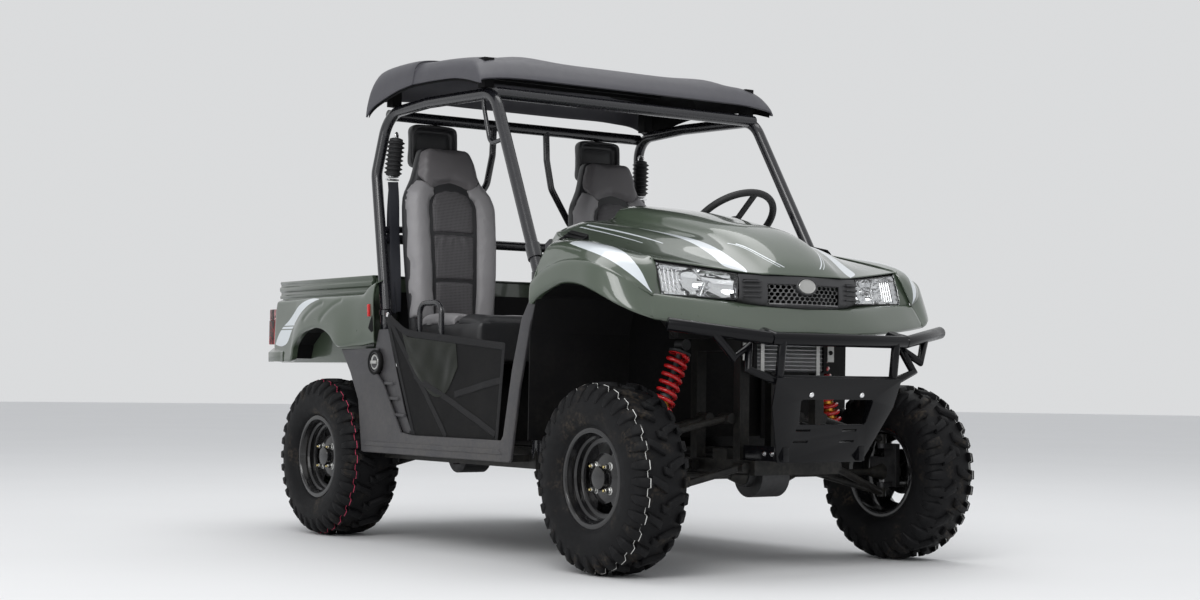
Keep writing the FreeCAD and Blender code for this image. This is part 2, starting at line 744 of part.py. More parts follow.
def across(lines, thickness):
    """A shell lofted from side to side through side-view lines, the same on both sides."""
    wires = []
    for y, line in [(-y, line) for y, line in reversed(lines[1:])] + lines:
        wires.append(polygon([(x, y, z) for x, z in strip(line_at(line), thickness)]))
    return loft(wires)


hinge_x, hinge_z = at(HOOD_PIVOT[0]), HOOD_PIVOT[1]
hood_shell = across(HOOD_LINES, dim.panel)
lugs = []
for y in (-232 + dim.fit_gap, 202 + dim.fit_gap):
    lug_end = y + 30 - 2 * dim.fit_gap
    lug = drawn(welded([
        rod((hinge_x, y, hinge_z), (hinge_x, lug_end, hinge_z), 9),
        box(hinge_x - 6, hinge_x + 9, y, lug_end, hinge_z, hinge_z + 30),
    ], "hood_lug_blank"))
    web = solid(butted(lug, (hinge_x, y, hinge_z), hood_shell, (0, 0, 2)), "hood_lug")
    pin_hole = rod((hinge_x, y - 1, hinge_z), (hinge_x, y + 31, hinge_z), 5 + dim.fit_gap)
    lugs.append(drilled(web, [pin_hole], "hood_eye"))
add_piece("hood", welded([solid(hood_shell, "hood_shell"), *lugs], "hood_panel"))

# Fender sections from behind the arch to the lamp's outer edge.
# Each row: centre x, centre y, heading, then lip, crease, crown and seam as (outward, height)
FENDER_SECTIONS = [
    (600, 0, 90, [(740, 905), (731, 968), (655, 1112), (556, 1136)]),
    (705, 0, 90, [(740, 947), (733, 1014), (655, 1108), (556, 1117)]),
    (782, 0, 90, [(740, 967), (733, 1031), (652, 1102), (556, 1100)]),
    (876, 0, 90, [(740, 961), (733, 1030), (650, 1088), (556, 1082)]),
    (960, 0, 90, [(740, 938), (728, 1014), (648, 1064), (556, 1064)]),
    (960, 480, 62, [(262, 884), (240, 968), (200, 1024), (92, 1054)]),
    (960, 480, 38, [(215, 850), (178, 928), (172, 958), (118, 1040)]),
]
NOSE_SECTIONS = [
    (960, 480, 38, [(215, 850), (178, 928), (90, 934)]),
    (980, 400, 25, [(195, 830), (150, 905), (60, 922)]),
    (1000, 300, 8, [(212, 810), (165, 888), (75, 918)]),
    (1000, 150, 0, [(206, 806), (180, 880), (100, 890)]),
    (1000, 0, 0, [(190, 812), (182, 876), (100, 888)]),
]


def shell_through(rows, thickness):
    """A shell lofted through upright sections set round a corner."""
    wires = []
    for x, y, heading, line in rows:
        wires.append(section(at(x), y, heading, offset_line(line, -thickness) + line[::-1]))
    return loft(wires)


# Lamps: lower and upper front edge of a lamp as (x, z), at its inner and outer end
LAMP_IN_Y, LAMP_OUT_Y = 266, 540
LAMP_IN, LAMP_OUT = [(1140, 915), (1138, 1000)], [(1080, 925), (1046, 1030)]
LAMP_DEPTH = 70
# centre of each reflector bowl
BOWLS = [(1112, 330, 958), (1085, 430, 966)]
BOWL_RADIUS = 44


def lamp_slab(front, depth, grow=0):
    """A slab behind the lamp's face from front to depth, on the left side."""
    wires = []
    for y, line in ((LAMP_IN_Y - grow, LAMP_IN), (LAMP_OUT_Y + grow, LAMP_OUT)):
        (low_x, low_z), (high_x, high_z) = line_at(line)
        wires.append(polygon([(low_x - front, y, low_z - grow), (high_x - front, y, high_z + grow),
                              (high_x - depth, y, high_z + grow), (low_x - depth, y, low_z - grow)]))
    return loft(wires)


bowls = []
for x, y, z in BOWLS:
    bowls.append(sized(placed(doc.addObject("Part::Sphere", "bowl"), at(x), y, z), Radius=BOWL_RADIUS))
lamp = drilled(solid(lamp_slab(4 + dim.fit_gap, LAMP_DEPTH), "lamp_block"), bowls, "lamp")
add_piece("headlamps", *both([lamp]))
add_piece("headlamp_lenses", *both([solid(lamp_slab(0, 4), "lens")]))

GRILLE_LINES = [
    (0, [(1172, 892), (1188, 940), (1180, 994)]),
    (175, [(1152, 900), (1166, 940), (1158, 996)]),
    (LAMP_IN_Y - dim.fit_gap, [(1128, 922), (1142, 950), (1132, 998)]),
]
badge = rod((at(1180), 0, 955), (at(1204), 0, 958), 38)
add_piece("grille", welded([solid(across(GRILLE_LINES, 8), "grille_panel"), badge], "grille_weld"))

fender = shell_through(FENDER_SECTIONS, dim.panel)
nose = shell_through(NOSE_SECTIONS, dim.panel)
half_cowl = fender.fuse(nose).removeSplitter().cut(lamp_slab(-2, LAMP_DEPTH + 2, dim.fit_gap))
half_cowl = solid(half_cowl, "half_cowl")
cowl_weld = welded([half_cowl, mirrored(half_cowl)], "cowl")
cowl = drawn(cowl_weld)
add_piece("front_cowl", cowl_weld)
radiator_rear = at(1070.3)
add_piece("radiator", welded([
    box(radiator_rear, radiator_rear + 37.7, -155, 155, rail_top + 55, SUBFRAME_TOP),
    *both([box(radiator_rear + 4, radiator_rear + 44, 150, 168, rail_top + 75, SUBFRAME_TOP - 25)]),
], "radiator_core"))

# Frame: welded ladder, front and rear subframes and the posts that carry the cage

drawbar_tip = rear_axle - dim.rear_overhang
sill_top = floor_height - dim.panel - dim.fit_gap
panel_seat = dim.sill_outer - 12 - dim.fit_gap
bracket_low = dim.rail_base + 25
sill_rear, sill_front = at(-600), at(470)
ladder = both([
    box(rail_rear, rail_front, rail_in, rail_out, dim.rail_base, rail_top),
    box(sill_rear, sill_front, sill_in, sill_out, dim.rail_base, sill_top),
    *[box(at(x), at(x) + 30, sill_out - 20, panel_seat, bracket_low, bracket_low + 22) for x in (-560, -30, 400)],
    *[box(at(x), at(x) + 40, sill_in - 20, sill_in, sill_top - 25, sill_top) for x in (60, 330)],
]) + [
    box(sill_rear, sill_rear + 40, -sill_out, sill_out, dim.rail_base, cross_top),
    box(sill_front - 40, sill_front, -sill_out, sill_out, dim.rail_base, cross_top),
    box(at(-190), at(-150), -sill_out, sill_out, dim.rail_base, cross_top),
    box(rail_front - 40, rail_front, -rail_in, rail_in, dim.rail_base, rail_top),
    box(rail_rear, rail_rear + 40, -rail_in, rail_in, dim.rail_base, rail_top),
    box(drawbar_tip, rail_rear + 40, -35, 35, dim.rail_base, dim.rail_base + dim.hitch_plate),
]
ball_x = drawbar_tip + 32
ball_hole = rod((ball_x, 0, dim.rail_base - 10), (ball_x, 0, dim.rail_base + 30), dim.hitch_hole / 2)
shaft_notches = [rod((x, -rail_out - 5, hub_height), (x, rail_out + 5, hub_height), 22)
                 for x in (front_axle, rear_axle)]
frame_weld = drilled(welded(ladder, "ladder"), [ball_hole, *shaft_notches], "frame_weld")
frame = drawn(frame_weld)
add_piece("frame", frame_weld)

front_tower = both([
    box(at(1035), at(1070), rail_in, rail_out, rail_top, SUBFRAME_TOP),
    box(at(800), at(835), rail_in, rail_out, rail_top, SUBFRAME_TOP),
    box(at(800), at(1070), rail_in, rail_out, SUBFRAME_TOP - 40, SUBFRAME_TOP),
    box(front_axle - 37.5, front_axle + 37.5, rail_in, rail_out, rail_top, saddle_top),
]) + [
    box(at(865), at(915), -340, 340, SUBFRAME_TOP, SUBFRAME_TOP + 24),
    box(front_axle - 37.5, front_axle + 37.5, -rail_in, rail_in, saddle_top - 16, saddle_top),
]
STRUT_FOOT, STRUT_HEAD = (at(890), 325, SUBFRAME_TOP + 12), (at(890), 660, 1120)
strut = drawn(rod(STRUT_FOOT, STRUT_HEAD, 13))
cowl_strut = solid(butted(strut, STRUT_FOOT, cowl, (0, 0, -dim.fit_gap)), "cowl_strut")
add_piece("front_subframe", welded([*front_tower, *both([cowl_strut])], "front_tower"))
bed_boss = rail_in + 8
rear_tower = both([
    box(at(-1075), at(-1040), rail_in, rail_out, rail_top, REAR_TOP),
    box(at(-860), at(-825), rail_in, rail_out, rail_top, REAR_TOP),
    box(at(-640), at(-610), rail_in, rail_out, rail_top, REAR_TOP),
    box(at(-1320), at(-610), rail_in, rail_out, REAR_TOP - 30, REAR_TOP),
    box(rear_axle - 37.5, rear_axle + 37.5, rail_in, rail_out, rail_top, saddle_top),
    box(bed_pivot_x - 18, bed_pivot_x + 30, rail_in, bed_boss, REAR_TOP - 36, REAR_TOP),
    box(bed_pivot_x - 18, bed_pivot_x + 30, rail_out - 8, rail_out, REAR_TOP - 36, REAR_TOP),
    rod((bed_pivot_x, rail_in, bed_pivot_z), (bed_pivot_x, rail_out, bed_pivot_z), 8),
]) + [
    box(at(-915), at(-865), -370, 370, REAR_TOP - 22, REAR_TOP),
    box(at(-1320), at(-1290), -rail_in, rail_in, REAR_TOP - 30, REAR_TOP),
    box(rear_axle - 37.5, rear_axle + 37.5, -rail_in, rail_in, saddle_top - 16, saddle_top),
]
add_piece("rear_subframe", welded(rear_tower, "rear_tower"))
# foot, knee, then the height of the post's top
POSTS = [((-575, 600, 360), (-548, 655, 860), 884), ((450, 600, 360), (550, 668, 965), 986)]
posts = []
for foot, knee, top_z in POSTS:
    (foot, knee) = route_at([foot, knee])
    top = (knee[0], knee[1], top_z - dim.fit_gap)
    post = drawn(welded([rod(foot, knee, 20), rod((knee[0], knee[1], knee[2] - 12), top, 22)], "post_blank"))
    posts.append(solid(butted(post, top, frame, (0, 0, 0)), "post"))
add_piece("pillar_posts", *both(posts))
skid_top = dim.rail_base - dim.fit_gap
skid_half = rail_out + 30
add_piece("skid_plate", box(rear_axle + 84, front_axle - 84, -skid_half, skid_half,
                            skid_top - dim.skid_thickness, skid_top))


# Arch liners

FRONT_LINER = [(590, 430), (594, 800), (632, 922), (705, 962), (782, 981), (876, 976), (960, 950)]
NOSE_LINER = [(960.3, 950), (1000, 902), (1075, 850)]
REAR_LINER = [(-619, 352), (-626, 450), (-655, 560), (-722, 660), (-740, 684)]
LINER_EDGE = 732.1
strut_hole = rod(STRUT_FOOT, STRUT_HEAD, 13 + dim.fit_gap)
liners = [
    drilled(side_profile(strip(line_at(FRONT_LINER), -4), 310, LINER_EDGE), [strut_hole], "front_liner"),
    side_profile(strip(line_at(NOSE_LINER), -4), 310, 560),
    side_profile(strip(line_at(REAR_LINER), 4), 215, panel_seat),
]
add_piece("arch_liners", *both(liners))

# Cab: side panels, floor and seat deck, dashboard

SIDE_PANEL = [
    (-800, 752), (-723, 660), (-654, 550), (-622, dim.sill_low), (450, dim.sill_low), (502, 609), (567, 833),
    (592, 880), (587, 952), (509, 847), (454, 673), (395, sill_high), (-242, sill_high), (-318, sill_high + 9),
    (-456, 611), (-545, 688), (-500, 754),
]
CAP_X, CAP_Z = -525, 700
CAP_RADIUS, RECESS_RADIUS, NECK_RADIUS = 34, 42, 50
panel_pad = side_pad("side_panel", line_at(SIDE_PANEL), dim.sill_outer - 12, dim.sill_outer)
recess = new_sketch(panel_pad, "filler_recess_outline", "XZ_Plane")
draw_circle(recess, at(CAP_X), CAP_Z, RECESS_RADIUS)
pocketed(panel_pad, "filler_recess", recess, 60, True)
filler = [
    rod((at(CAP_X), dim.sill_outer - 30, CAP_Z), (at(CAP_X), dim.sill_outer - 2, CAP_Z), CAP_RADIUS),
    rod((at(CAP_X), dim.sill_outer - 40, CAP_Z), (at(CAP_X), dim.sill_outer - 12, CAP_Z), NECK_RADIUS),
]
add_piece("side_panels", *both([welded([panel_pad, *filler], "side_weld")]))

FLOOR_LINE = [
    (528, 1017 - dim.fit_gap), (572, 960), (560, floor_height + 35), (520, floor_height), (-70, floor_height),
    (-100, dim.deck_height), (-560, dim.deck_height), (-604, dim.deck_height + 280),
]
FLOOR_HALF = 575
floor_pad = side_pad("floor_sheet", strip(line_at(FLOOR_LINE), -dim.panel), -FLOOR_HALF, FLOOR_HALF)
tunnel = drilled(box(at(-80), at(530), -110, 110, floor_height, floor_height + 115),
                 [box(at(-90), at(540), -104, 104, floor_height - 1, floor_height + 109)], "tunnel")
shelf = box(at(-390), at(-106), 570, 660, dim.deck_height - dim.panel, dim.deck_height)
add_piece("cab_floor", welded([floor_pad, tunnel, *both([shelf])], "floor_weld"))

# The steering wheel stands off the dashboard, so it moves with it
wheel_centre = (at(400) - 100, dim.seat_offset, 1255)
COLUMN_RADIUS, COLUMN_LENGTH = 16, 175
tilt = math.radians(dim.column_tilt)
column_axis = Vector(-math.cos(tilt), 0, math.sin(tilt))


def make_hand_wheel():
    """Rim, hub, three spokes and the column, drawn round Z with the driver on +Z, then stood on its column."""
    rim = sized(doc.addObject("Part::Torus", "hand_rim"), Radius1=dim.wheel_hand_radius, Radius2=14)
    parts = [rim, rod((0, 0, -20), (0, 0, 6), 38)]
    for angle in (0, 120, 240):
        spoke = doc.addObject("Part::Box", "spoke")
        sized(spoke, Length=dim.wheel_hand_radius - 20, Width=26, Height=8)
        turn = Rotation(Vector(0, 0, 1), angle)
        parts.append(placed(spoke, *turn.multVec(Vector(14, -13, -12)), turn))
    parts.append(rod((0, 0, -COLUMN_LENGTH), (0, 0, 0), COLUMN_RADIUS))
    return placed(welded(parts, "hand_wheel"), *wheel_centre, Rotation(Vector(0, 0, 1), column_axis))


add_piece("steering_wheel", make_hand_wheel())
column_end = Vector(*wheel_centre) - column_axis * (COLUMN_LENGTH + 2)
column_bore = rod(tuple(column_end), tuple(column_end + column_axis * COLUMN_LENGTH), COLUMN_RADIUS + dim.fit_gap)

DASH_LINES = [
    (0, [(398, 1262), (372, 1225), (392, 1060), (460, 1020), (540, 1020), (540, 1200)]),
    (190, [(400, 1208), (375, 1180), (392, 1050), (460, 1020), (540, 1020), (540, 1150)]),
    (380, [(410, 1168), (382, 1150), (396, 1040), (460, 1020), (540, 1020), (540, 1120)]),
    (545, [(428, 1140), (400, 1125), (404, 1030), (460, 1020), (540, 1020), (540, 1110)]),
]


def dash_block():
    """Closed dashboard block, bulging towards the seats."""
    wires = []
    for y, line in [(-y, line) for y, line in reversed(DASH_LINES[1:])] + DASH_LINES:
        wires.append(polygon([(x, y, z) for x, z in [(at(x) if x > 500 else hinge_x + x - 384, z) for x, z in line]]))
    return loft(wires)


ears = [box(hinge_x - 8, hinge_x + 14, y, y + 8, 1150, hinge_z + 8) for y in (-240, -202, 194, 232)]
hinge_pins = [rod((hinge_x, y, hinge_z), (hinge_x, y + 46, hinge_z), 5) for y in (-240, 194)]
dash = drilled(solid(dash_block(), "dash_block"), [column_bore], "dash")
add_piece("dashboard", welded([dash, *ears, *hinge_pins], "dash_weld"))

# Seats

seat_half = dim.seat_width / 2


def slab_at(z, x0, x1, half, corner=30):
    """A horizontal section with cut corners."""
    ends = [(x0, half - corner), (x0 + corner, half), (x1 - corner, half), (x1, half - corner)]
    points = [(x, y, z) for x, y in ends] + [(x, -y, z) for x, y in ends[::-1]]
    return polygon([(at(-450) + 450 + x, dim.seat_offset + y, z) for x, y, _ in points])


seat_base = dim.deck_height + dim.fit_gap
cushion = loft([slab_at(seat_base, -424.5, 20, 180), slab_at(seat_base + 80, -424.5, 40, seat_half),
                slab_at(seat_base + 180, -410, 44, seat_half, 40)])
# height above the deck, rear, front, half width
BACK_SECTIONS = [
    (0, -500, -425, seat_half - 20), (130, -505, -425, seat_half - 20), (350, -535, -430, seat_half - 5),
    (640, -560, -455, seat_half - 2), (730, -572, -485, seat_half - 60), (865, -590, -510, seat_half - 90),
]
seat_back = loft([slab_at(seat_base + up, x0, x1, half) for up, x0, x1, half in BACK_SECTIONS])
add_piece("seat_cushions", *both([solid(cushion, "cushion")]))
add_piece("seat_backs", *both([solid(seat_back, "seat_back")]))

# Roll cage, roof, pads, belts and nets

HOOP = [(548, 668, 1010), (165, 618, 1688), (-300, 622, 1700), (-612, 622, 1688), (-650, 650, 1450), (-548, 655, 905)]
GUARD = [(-604, 130, 1676), (-604, 135, 1560), (-604, 160, 1440), (-604, 260, 1290), (-604, 380, 1240),
         (-604, 645, 1225)]
COLLAR = [(520, 664.3, 1060), (492, 660.6, 1110)]
GRAB = [(92, -620, 1692), (98, -620, 1640), (150, -624, 1500), (262, -631, 1510)]
# The clamp rings stand on the posts' tops
cage_parts = both([
    rod(*route_at(COLLAR), dim.cage_radius + 5),
    tube(route_at(HOOP), dim.cage_radius, 110),
    tube(route_at(GUARD), 14, 70),
    rod((at(-548), 655, 905), (at(-548), 655, 884), dim.cage_radius + 5),
    rod((at(550), 668, 1012), (at(550), 668, 986), dim.cage_radius + 5),
])
cage_parts += [
    tube(route_at(GRAB), 8, 40),
    rod((at(165), -618, 1688), (at(165), 618, 1688), dim.cage_radius),
    rod((at(-612), -622, 1684), (at(-612), 622, 1684), dim.cage_radius),
    rod((at(-600), -652, 1190), (at(-600), 652, 1190), dim.cage_radius - 3),
]
cage_weld = welded(cage_parts, "cage")
cage = drawn(cage_weld)
add_piece("roll_cage", cage_weld)

# station x, then the roof's line from skirt edge to middle as (inset from the edge, drop from the top)
ROOF_SECTIONS = [
    (190, [(2, 171), (3, 163), (20, 153), (100, 143), (270, 138), (450, 138), (700, 138)]),
    (140, [(0, 158), (3, 123), (24, 93), (100, 73), (270, 67), (450, 69), (700, 69)]),
    (90, [(0, 146), (5, 103), (32, 71), (100, 55), (270, 39), (450, 47), (700, 47)]),
    (0, [(0, 132), (7, 85), (36, 57), (100, 43), (270, 25), (450, 34), (700, 34)]),
    (-282, [(0, 122), (9, 73), (38, 41), (100, 27), (270, 7), (450, 18), (700, 18)]),
    (-294, [(0, 122), (3, 63), (28, 31), (96, 19), (270, 4), (450, 17), (700, 17)]),
    (-560, [(0, 165), (3, 79), (32, 35), (96, 15), (270, 1), (450, 5), (700, 5)]),
    (-618, [(0, 185), (4, 99), (36, 53), (96, 29), (270, 17), (450, 21), (700, 21)]),
    (-655, [(0, 205), (4, 145), (40, 109), (96, 85), (270, 73), (450, 75), (700, 75)]),
]


def roof_lines():
    """The roof's sections from edge to edge, as station and (distance from centre line, height) points."""
    for x, half_line in ROOF_SECTIONS:
        half = [(dim.roof_half_width - inset, dim.roof_top - drop) for inset, drop in half_line[:-1]]
        middle = [(0, dim.roof_top - half_line[-1][1])]
        yield at(x), half + middle + [(-y, z) for y, z in half[::-1]]


def roof_loft(outline):
    """A solid lofted along the roof through what outline makes of each section's line."""
    return loft([polygon([(x, y, z) for y, z in outline(line)]) for x, line in roof_lines()])


roof_skin = roof_loft(lambda line: strip(line, -8))
roof_space = roof_loft(lambda line: offset_line(line, -3))
FOOT_IN, FOOT_OUT = 600, 644
roof_feet = []
for x in (90, -590):
    ends = at(x), at(x) + 45
    shank = drawn(box(*ends, FOOT_IN, FOOT_OUT, 1690, 1765))
    shank = butted(shank, (ends[0], FOOT_IN, 1765), cage, (0, 0, dim.fit_gap))
    tall = drawn(box(*ends, FOOT_IN, FOOT_OUT, 1690, dim.roof_top + 15))
    roof_feet.append(solid(shank.fuse(tall.common(roof_space)), "roof_foot"))
add_piece("roof", welded([solid(roof_skin, "roof_skin"), *both(roof_feet)], "roof_weld"))
pad_rear = at(-650)
add_piece("head_pads", *both([box(pad_rear, pad_rear + 52, 300, 520, 1480, 1662 - dim.fit_gap)]))
BOOT_FOOT, BOOT_LENGTH = (-588, 612, 1440), 160
boot_axis = Vector(0.1, -0.04, 1).normalize() * BOOT_LENGTH
boot_foot = Vector(at(BOOT_FOOT[0]), BOOT_FOOT[1], BOOT_FOOT[2])
add_piece("belt_boots", *both([cone(tuple(boot_foot), tuple(boot_foot + boot_axis), 28, 30)]))
BELT = [(-578, 1437.5), (-574, 1437.5), (-546, 890), (-550, 890)]
add_piece("seat_belts", *both([side_profile(line_at(BELT), 592.7, 627.7)]))
hip_foot = dim.deck_height + dim.fit_gap
hip_top = hip_foot + 225.7
hip_rail = tube([(at(-312), 640, hip_foot), (at(-312), 640, hip_top), (at(-150), 640, hip_top),
                 (at(-150), 640, hip_foot)], 11, 45)
add_piece("hip_rails", *both([hip_rail]))
NET = [(-304, 822), (-460, 894), (-231, 415), (343, 415), (386, 767)]
net_out = panel_seat
add_piece("side_nets", *both([side_profile(line_at(NET), net_out - 4, net_out)]))

# Cargo box: thin walls, top rails, underside cross beams, tailgate, rear fenders and tail lamps

half, wall = dim.bed_half_width, dim.panel
bed_floor_low = dim.bed_floor - 6
gate_x, gate_z = bed_rear + dim.gate_thickness / 2, dim.bed_floor + 20
gate_half = half - 40 - 6
PIN = 7
FLOOR_PAD = 3
side_wall = drilled(box(bed_rear, bed_front, half - wall, half, bed_floor_low, dim.bed_rail_top),
                    [rod((gate_x, half - 20, gate_z), (gate_x, half + 20, gate_z), PIN + dim.fit_gap)], "side_wall")
top_rail = box(bed_rear, bed_front, half - 40, half + 12, bed_rail_low, dim.bed_rail_top)
lug_in, lug_out = bed_boss + dim.fit_gap, rail_out - 8 - dim.fit_gap
bed_lug = drilled(welded([
    rod((bed_pivot_x, lug_in, bed_pivot_z), (bed_pivot_x, lug_out, bed_pivot_z), 15),
    box(bed_pivot_x - 10, bed_pivot_x + 10, lug_in, lug_out, bed_pivot_z, bed_floor_low),
], "bed_lug_blank"), [
    rod((bed_pivot_x, lug_in - 1, bed_pivot_z), (bed_pivot_x, lug_out + 1, bed_pivot_z), 8 + dim.fit_gap),
], "bed_lug")
beam = box(at(-1340), at(-700), 90, 130, bed_floor_low - 22, bed_floor_low)
box_parts = both([side_wall, top_rail, bed_lug, beam]) + [
    box(bed_rear, bed_front, -half, half, bed_floor_low, dim.bed_floor),
    box(bed_rear + 34, bed_front - 44, 46 - half, half - 46, dim.bed_floor, dim.bed_floor + FLOOR_PAD),
    box(bed_front - wall, bed_front, -half, half, bed_floor_low, dim.bed_rail_top),
    box(bed_front - 40, bed_front, -half, half, bed_rail_low, dim.bed_rail_top),
]
add_piece("cargo_box", welded(box_parts, "cargo_weld"))
gate_parts = [box(bed_rear, bed_rear + dim.gate_thickness, -gate_half, gate_half, gate_z - 8, dim.bed_rail_top - 10)]
gate_parts += both([rod((gate_x, gate_half - 4, gate_z), (gate_x, half - 1, gate_z), PIN)])
add_piece("tailgate", welded(gate_parts, "gate_weld"))

# station x, then the fender's line from under the rail to the lip as (distance from centre line, height)
rail_seat = bed_rail_low - dim.fit_gap
lip = dim.fender_half_width
REAR_FENDER = [
    (-550, [(690, 1020), (702, 1006), (708, 930), (lip - 34, 775)]),
    (-620, [(664, 968), (702, 960), (709, 932), (lip - 32, 770)]),
    (-700, [(654, rail_seat), (702, 958), (713, 936), (lip - 22, 765)]),
    (-789, [(654, rail_seat), (706, 958), (722, 940), (lip - 3, 764)]),
    (-857, [(654, rail_seat), (708, 960), (724, 952), (lip, 809)]),
    (-917, [(654, rail_seat), (709, 961), (725, 955), (lip, 834)]),
    (-976, [(654, rail_seat), (710, 962), (725, 957), (lip, 842)]),
    (-1037, [(654, rail_seat), (709, 961), (724, 953), (lip, 836)]),
    (-1113, [(654, rail_seat), (708, 960), (722, 935), (lip, 816)]),
    (-1182, [(654, rail_seat), (706, 958), (719, 880), (lip - 2, 767)]),
    (-1203, [(654, rail_seat), (705, 956), (718, 850), (lip - 3, 709)]),
    (-1300, [(654, rail_seat), (702, 955), (714, 850), (lip - 14, 704)]),
    (-1401.7, [(654, rail_seat), (698, 955), (706, 850), (lip - 30, 708)]),
]
fender_wires = []
for x, line in REAR_FENDER:
    fender_wires.append(polygon([(at(x), y, z) for y, z in strip(line, -dim.panel)]))
add_piece("rear_fenders", *both([solid(loft(fender_wires), "rear_fender")]))
WELL_LINE = [(-789, 770), (-857, 815), (-917, 840), (-976, 848), (-1037, 842), (-1113, 822), (-1182, 773), (-1203, 716)]
add_piece("rear_liners", *both([side_profile(strip(line_at(WELL_LINE), 4), half + dim.fit_gap, lip - 10)]))
tail_lamp = box(bed_rear, bed_rear + 76, half + dim.fit_gap, lip - 34, 776, 927)
add_piece("tail_lamps", *both([tail_lamp]))

# Check every object, then write one file per piece

doc.recompute()
for item in doc.Objects:
    if "Invalid" in item.State or "Error" in item.State:
        raise RuntimeError(f"{item.Label}: {item.State}")
for item in pieces:
    if item.Shape.isNull() or not item.Shape.isValid():
        raise RuntimeError(f"{item.Label}: bad shape")
for item in pieces:
    item.Shape.exportStep(f"parts/{item.Label}.step")
    print(item.Label, len(item.Shape.Solids), round(item.Shape.Volume / 1000))
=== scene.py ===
"""Bodywork, wheels, seats, trim and finishes of a side by side utility vehicle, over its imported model."""
import math

import bmesh
import bpy
import numpy as np
from mathutils import Matrix, Vector


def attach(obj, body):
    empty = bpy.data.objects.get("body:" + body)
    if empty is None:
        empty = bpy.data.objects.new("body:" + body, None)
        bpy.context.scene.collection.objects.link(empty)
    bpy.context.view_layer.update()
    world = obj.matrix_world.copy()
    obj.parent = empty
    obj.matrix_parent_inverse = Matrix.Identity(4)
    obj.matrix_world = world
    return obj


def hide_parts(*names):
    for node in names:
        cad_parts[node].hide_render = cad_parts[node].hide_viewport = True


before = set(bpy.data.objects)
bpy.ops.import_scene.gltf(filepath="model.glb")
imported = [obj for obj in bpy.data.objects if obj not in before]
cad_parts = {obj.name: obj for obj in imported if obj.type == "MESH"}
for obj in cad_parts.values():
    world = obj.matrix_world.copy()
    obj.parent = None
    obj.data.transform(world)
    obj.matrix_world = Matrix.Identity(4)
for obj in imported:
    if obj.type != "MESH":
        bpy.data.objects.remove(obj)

bl_info = {
    "name": "Side by side utility vehicle",
    "version": (1, 0, 0),
    "blender": (4, 5, 0),
    "location": "View3D > Sidebar > Utility vehicle",
    "description": "Builds the bodywork, wheels, seats and trim of a side by side utility vehicle",
    "category": "Object",
}

# The model's drawing is measured from the middle of the wheelbase, this far behind the row frame's middle
MID_X = 60.5
HALF_BASE = 962.5


def at(x, y, z):
    """A point of the drawing, in mm from the middle of the wheelbase, in metres in the row frame."""
    return Vector(((x + MID_X) / 1000, y / 1000, z / 1000))


# Shader graphs

GROUPS = {}
FINISHES = {}


def rgb(red, green, blue):
    return (red, green, blue, 1)


class Graph:
    """Adds nodes to a tree: a socket given for an input is linked to it, anything else is its value."""

    def __init__(self, tree):
        self.tree = tree

    def put(self, sockets, key, value):
        """Links or sets one input."""
        if isinstance(value, bpy.types.NodeSocket):
            self.tree.links.new(value, sockets[key])
        else:
            sockets[key].default_value = value

    def node(self, kind, out=0, inputs=None, **settings):
        """The chosen output of a new node, or all of them where out is None."""
        made = self.tree.nodes.new(kind)
        for name, value in settings.items():
            setattr(made, name, value)
        for key, value in (inputs or {}).items():
            self.put(made.inputs, key, value)
        return made.outputs if out is None else made.outputs[out]

    def math(self, operation, a, b=0.5, c=0.5):
        return self.node("ShaderNodeMath", 0, {0: a, 1: b, 2: c}, operation=operation)

    def times(self, a, b):
        return self.math("MULTIPLY", a, b)

    def mix(self, share, a, b):
        """A colour mixed from two by share."""
        return self.node("ShaderNodeMix", 2, {0: share, 6: a, 7: b}, data_type="RGBA")

    def blend(self, share, a, b):
        """A number mixed from two by share."""
        return self.node("ShaderNodeMix", 0, {0: share, 2: a, 3: b}, data_type="FLOAT")

    def noise(self, vector, scale, detail=3.0):
        return self.node("ShaderNodeTexNoise", 0, {"Vector": vector, "Scale": scale, "Detail": detail,
                                                   "Roughness": 0.55})

    def step(self, value, low, high):
        """0 below low, 1 above high."""
        return self.node("ShaderNodeMapRange", 0, {"Value": value, 1: low, 2: high},
                         interpolation_type="SMOOTHSTEP")

    def between(self, value, low, high):
        """1 where a number lies between two others."""
        return self.times(self.math("GREATER_THAN", value, low), self.math("LESS_THAN", value, high))

    def split(self, vector):
        return self.node("ShaderNodeSeparateXYZ", None, {0: vector})

    def place(self):
        """The piece's own coordinates, in metres in the row frame."""
        return self.node("ShaderNodeTexCoord", 3)

    def wrap(self):
        """The piece's own map, along and across it."""
        return self.split(self.node("ShaderNodeUVMap", uv_map="wrap"))[:2]

    def bump(self, height, strength, distance, normal=None):
        under = {} if normal is None else {"Normal": normal}
        return self.node("ShaderNodeBump", 0,
                         {"Height": height, "Strength": strength, "Distance": distance, **under})

    def shared(self, name, **inputs):
        """The outputs of a new node of a shared group, read by name."""
        return self.node("ShaderNodeGroup", None, inputs, node_tree=GROUPS[name])

    def mottle(self, scale, detail, color, low, high):
        """A colour that drifts between low and high times itself over the surface."""
        ends = (rgb(*(share * c for c in color)) for share in (low, high))
        return self.mix(self.noise(self.place(), scale, detail), *ends)

    def drift(self, scale, low, high, detail=3.0):
        """A number that drifts between two over the surface."""
        return self.blend(self.noise(self.place(), scale, detail), low, high)

    def show(self, surface, color, rough, normal, dust=None):
        """Ends a material: its colour and roughness, under road dust where dust is given, and its normal."""
        if dust is not None:
            dusty = self.shared("road_dust", Color=color, Roughness=rough, Amount=dust)
            color, rough = dusty["Color"], dusty["Roughness"]
        for key, value in (("Base Color", color), ("Roughness", rough), ("Normal", normal)):
            self.put(surface, key, value)


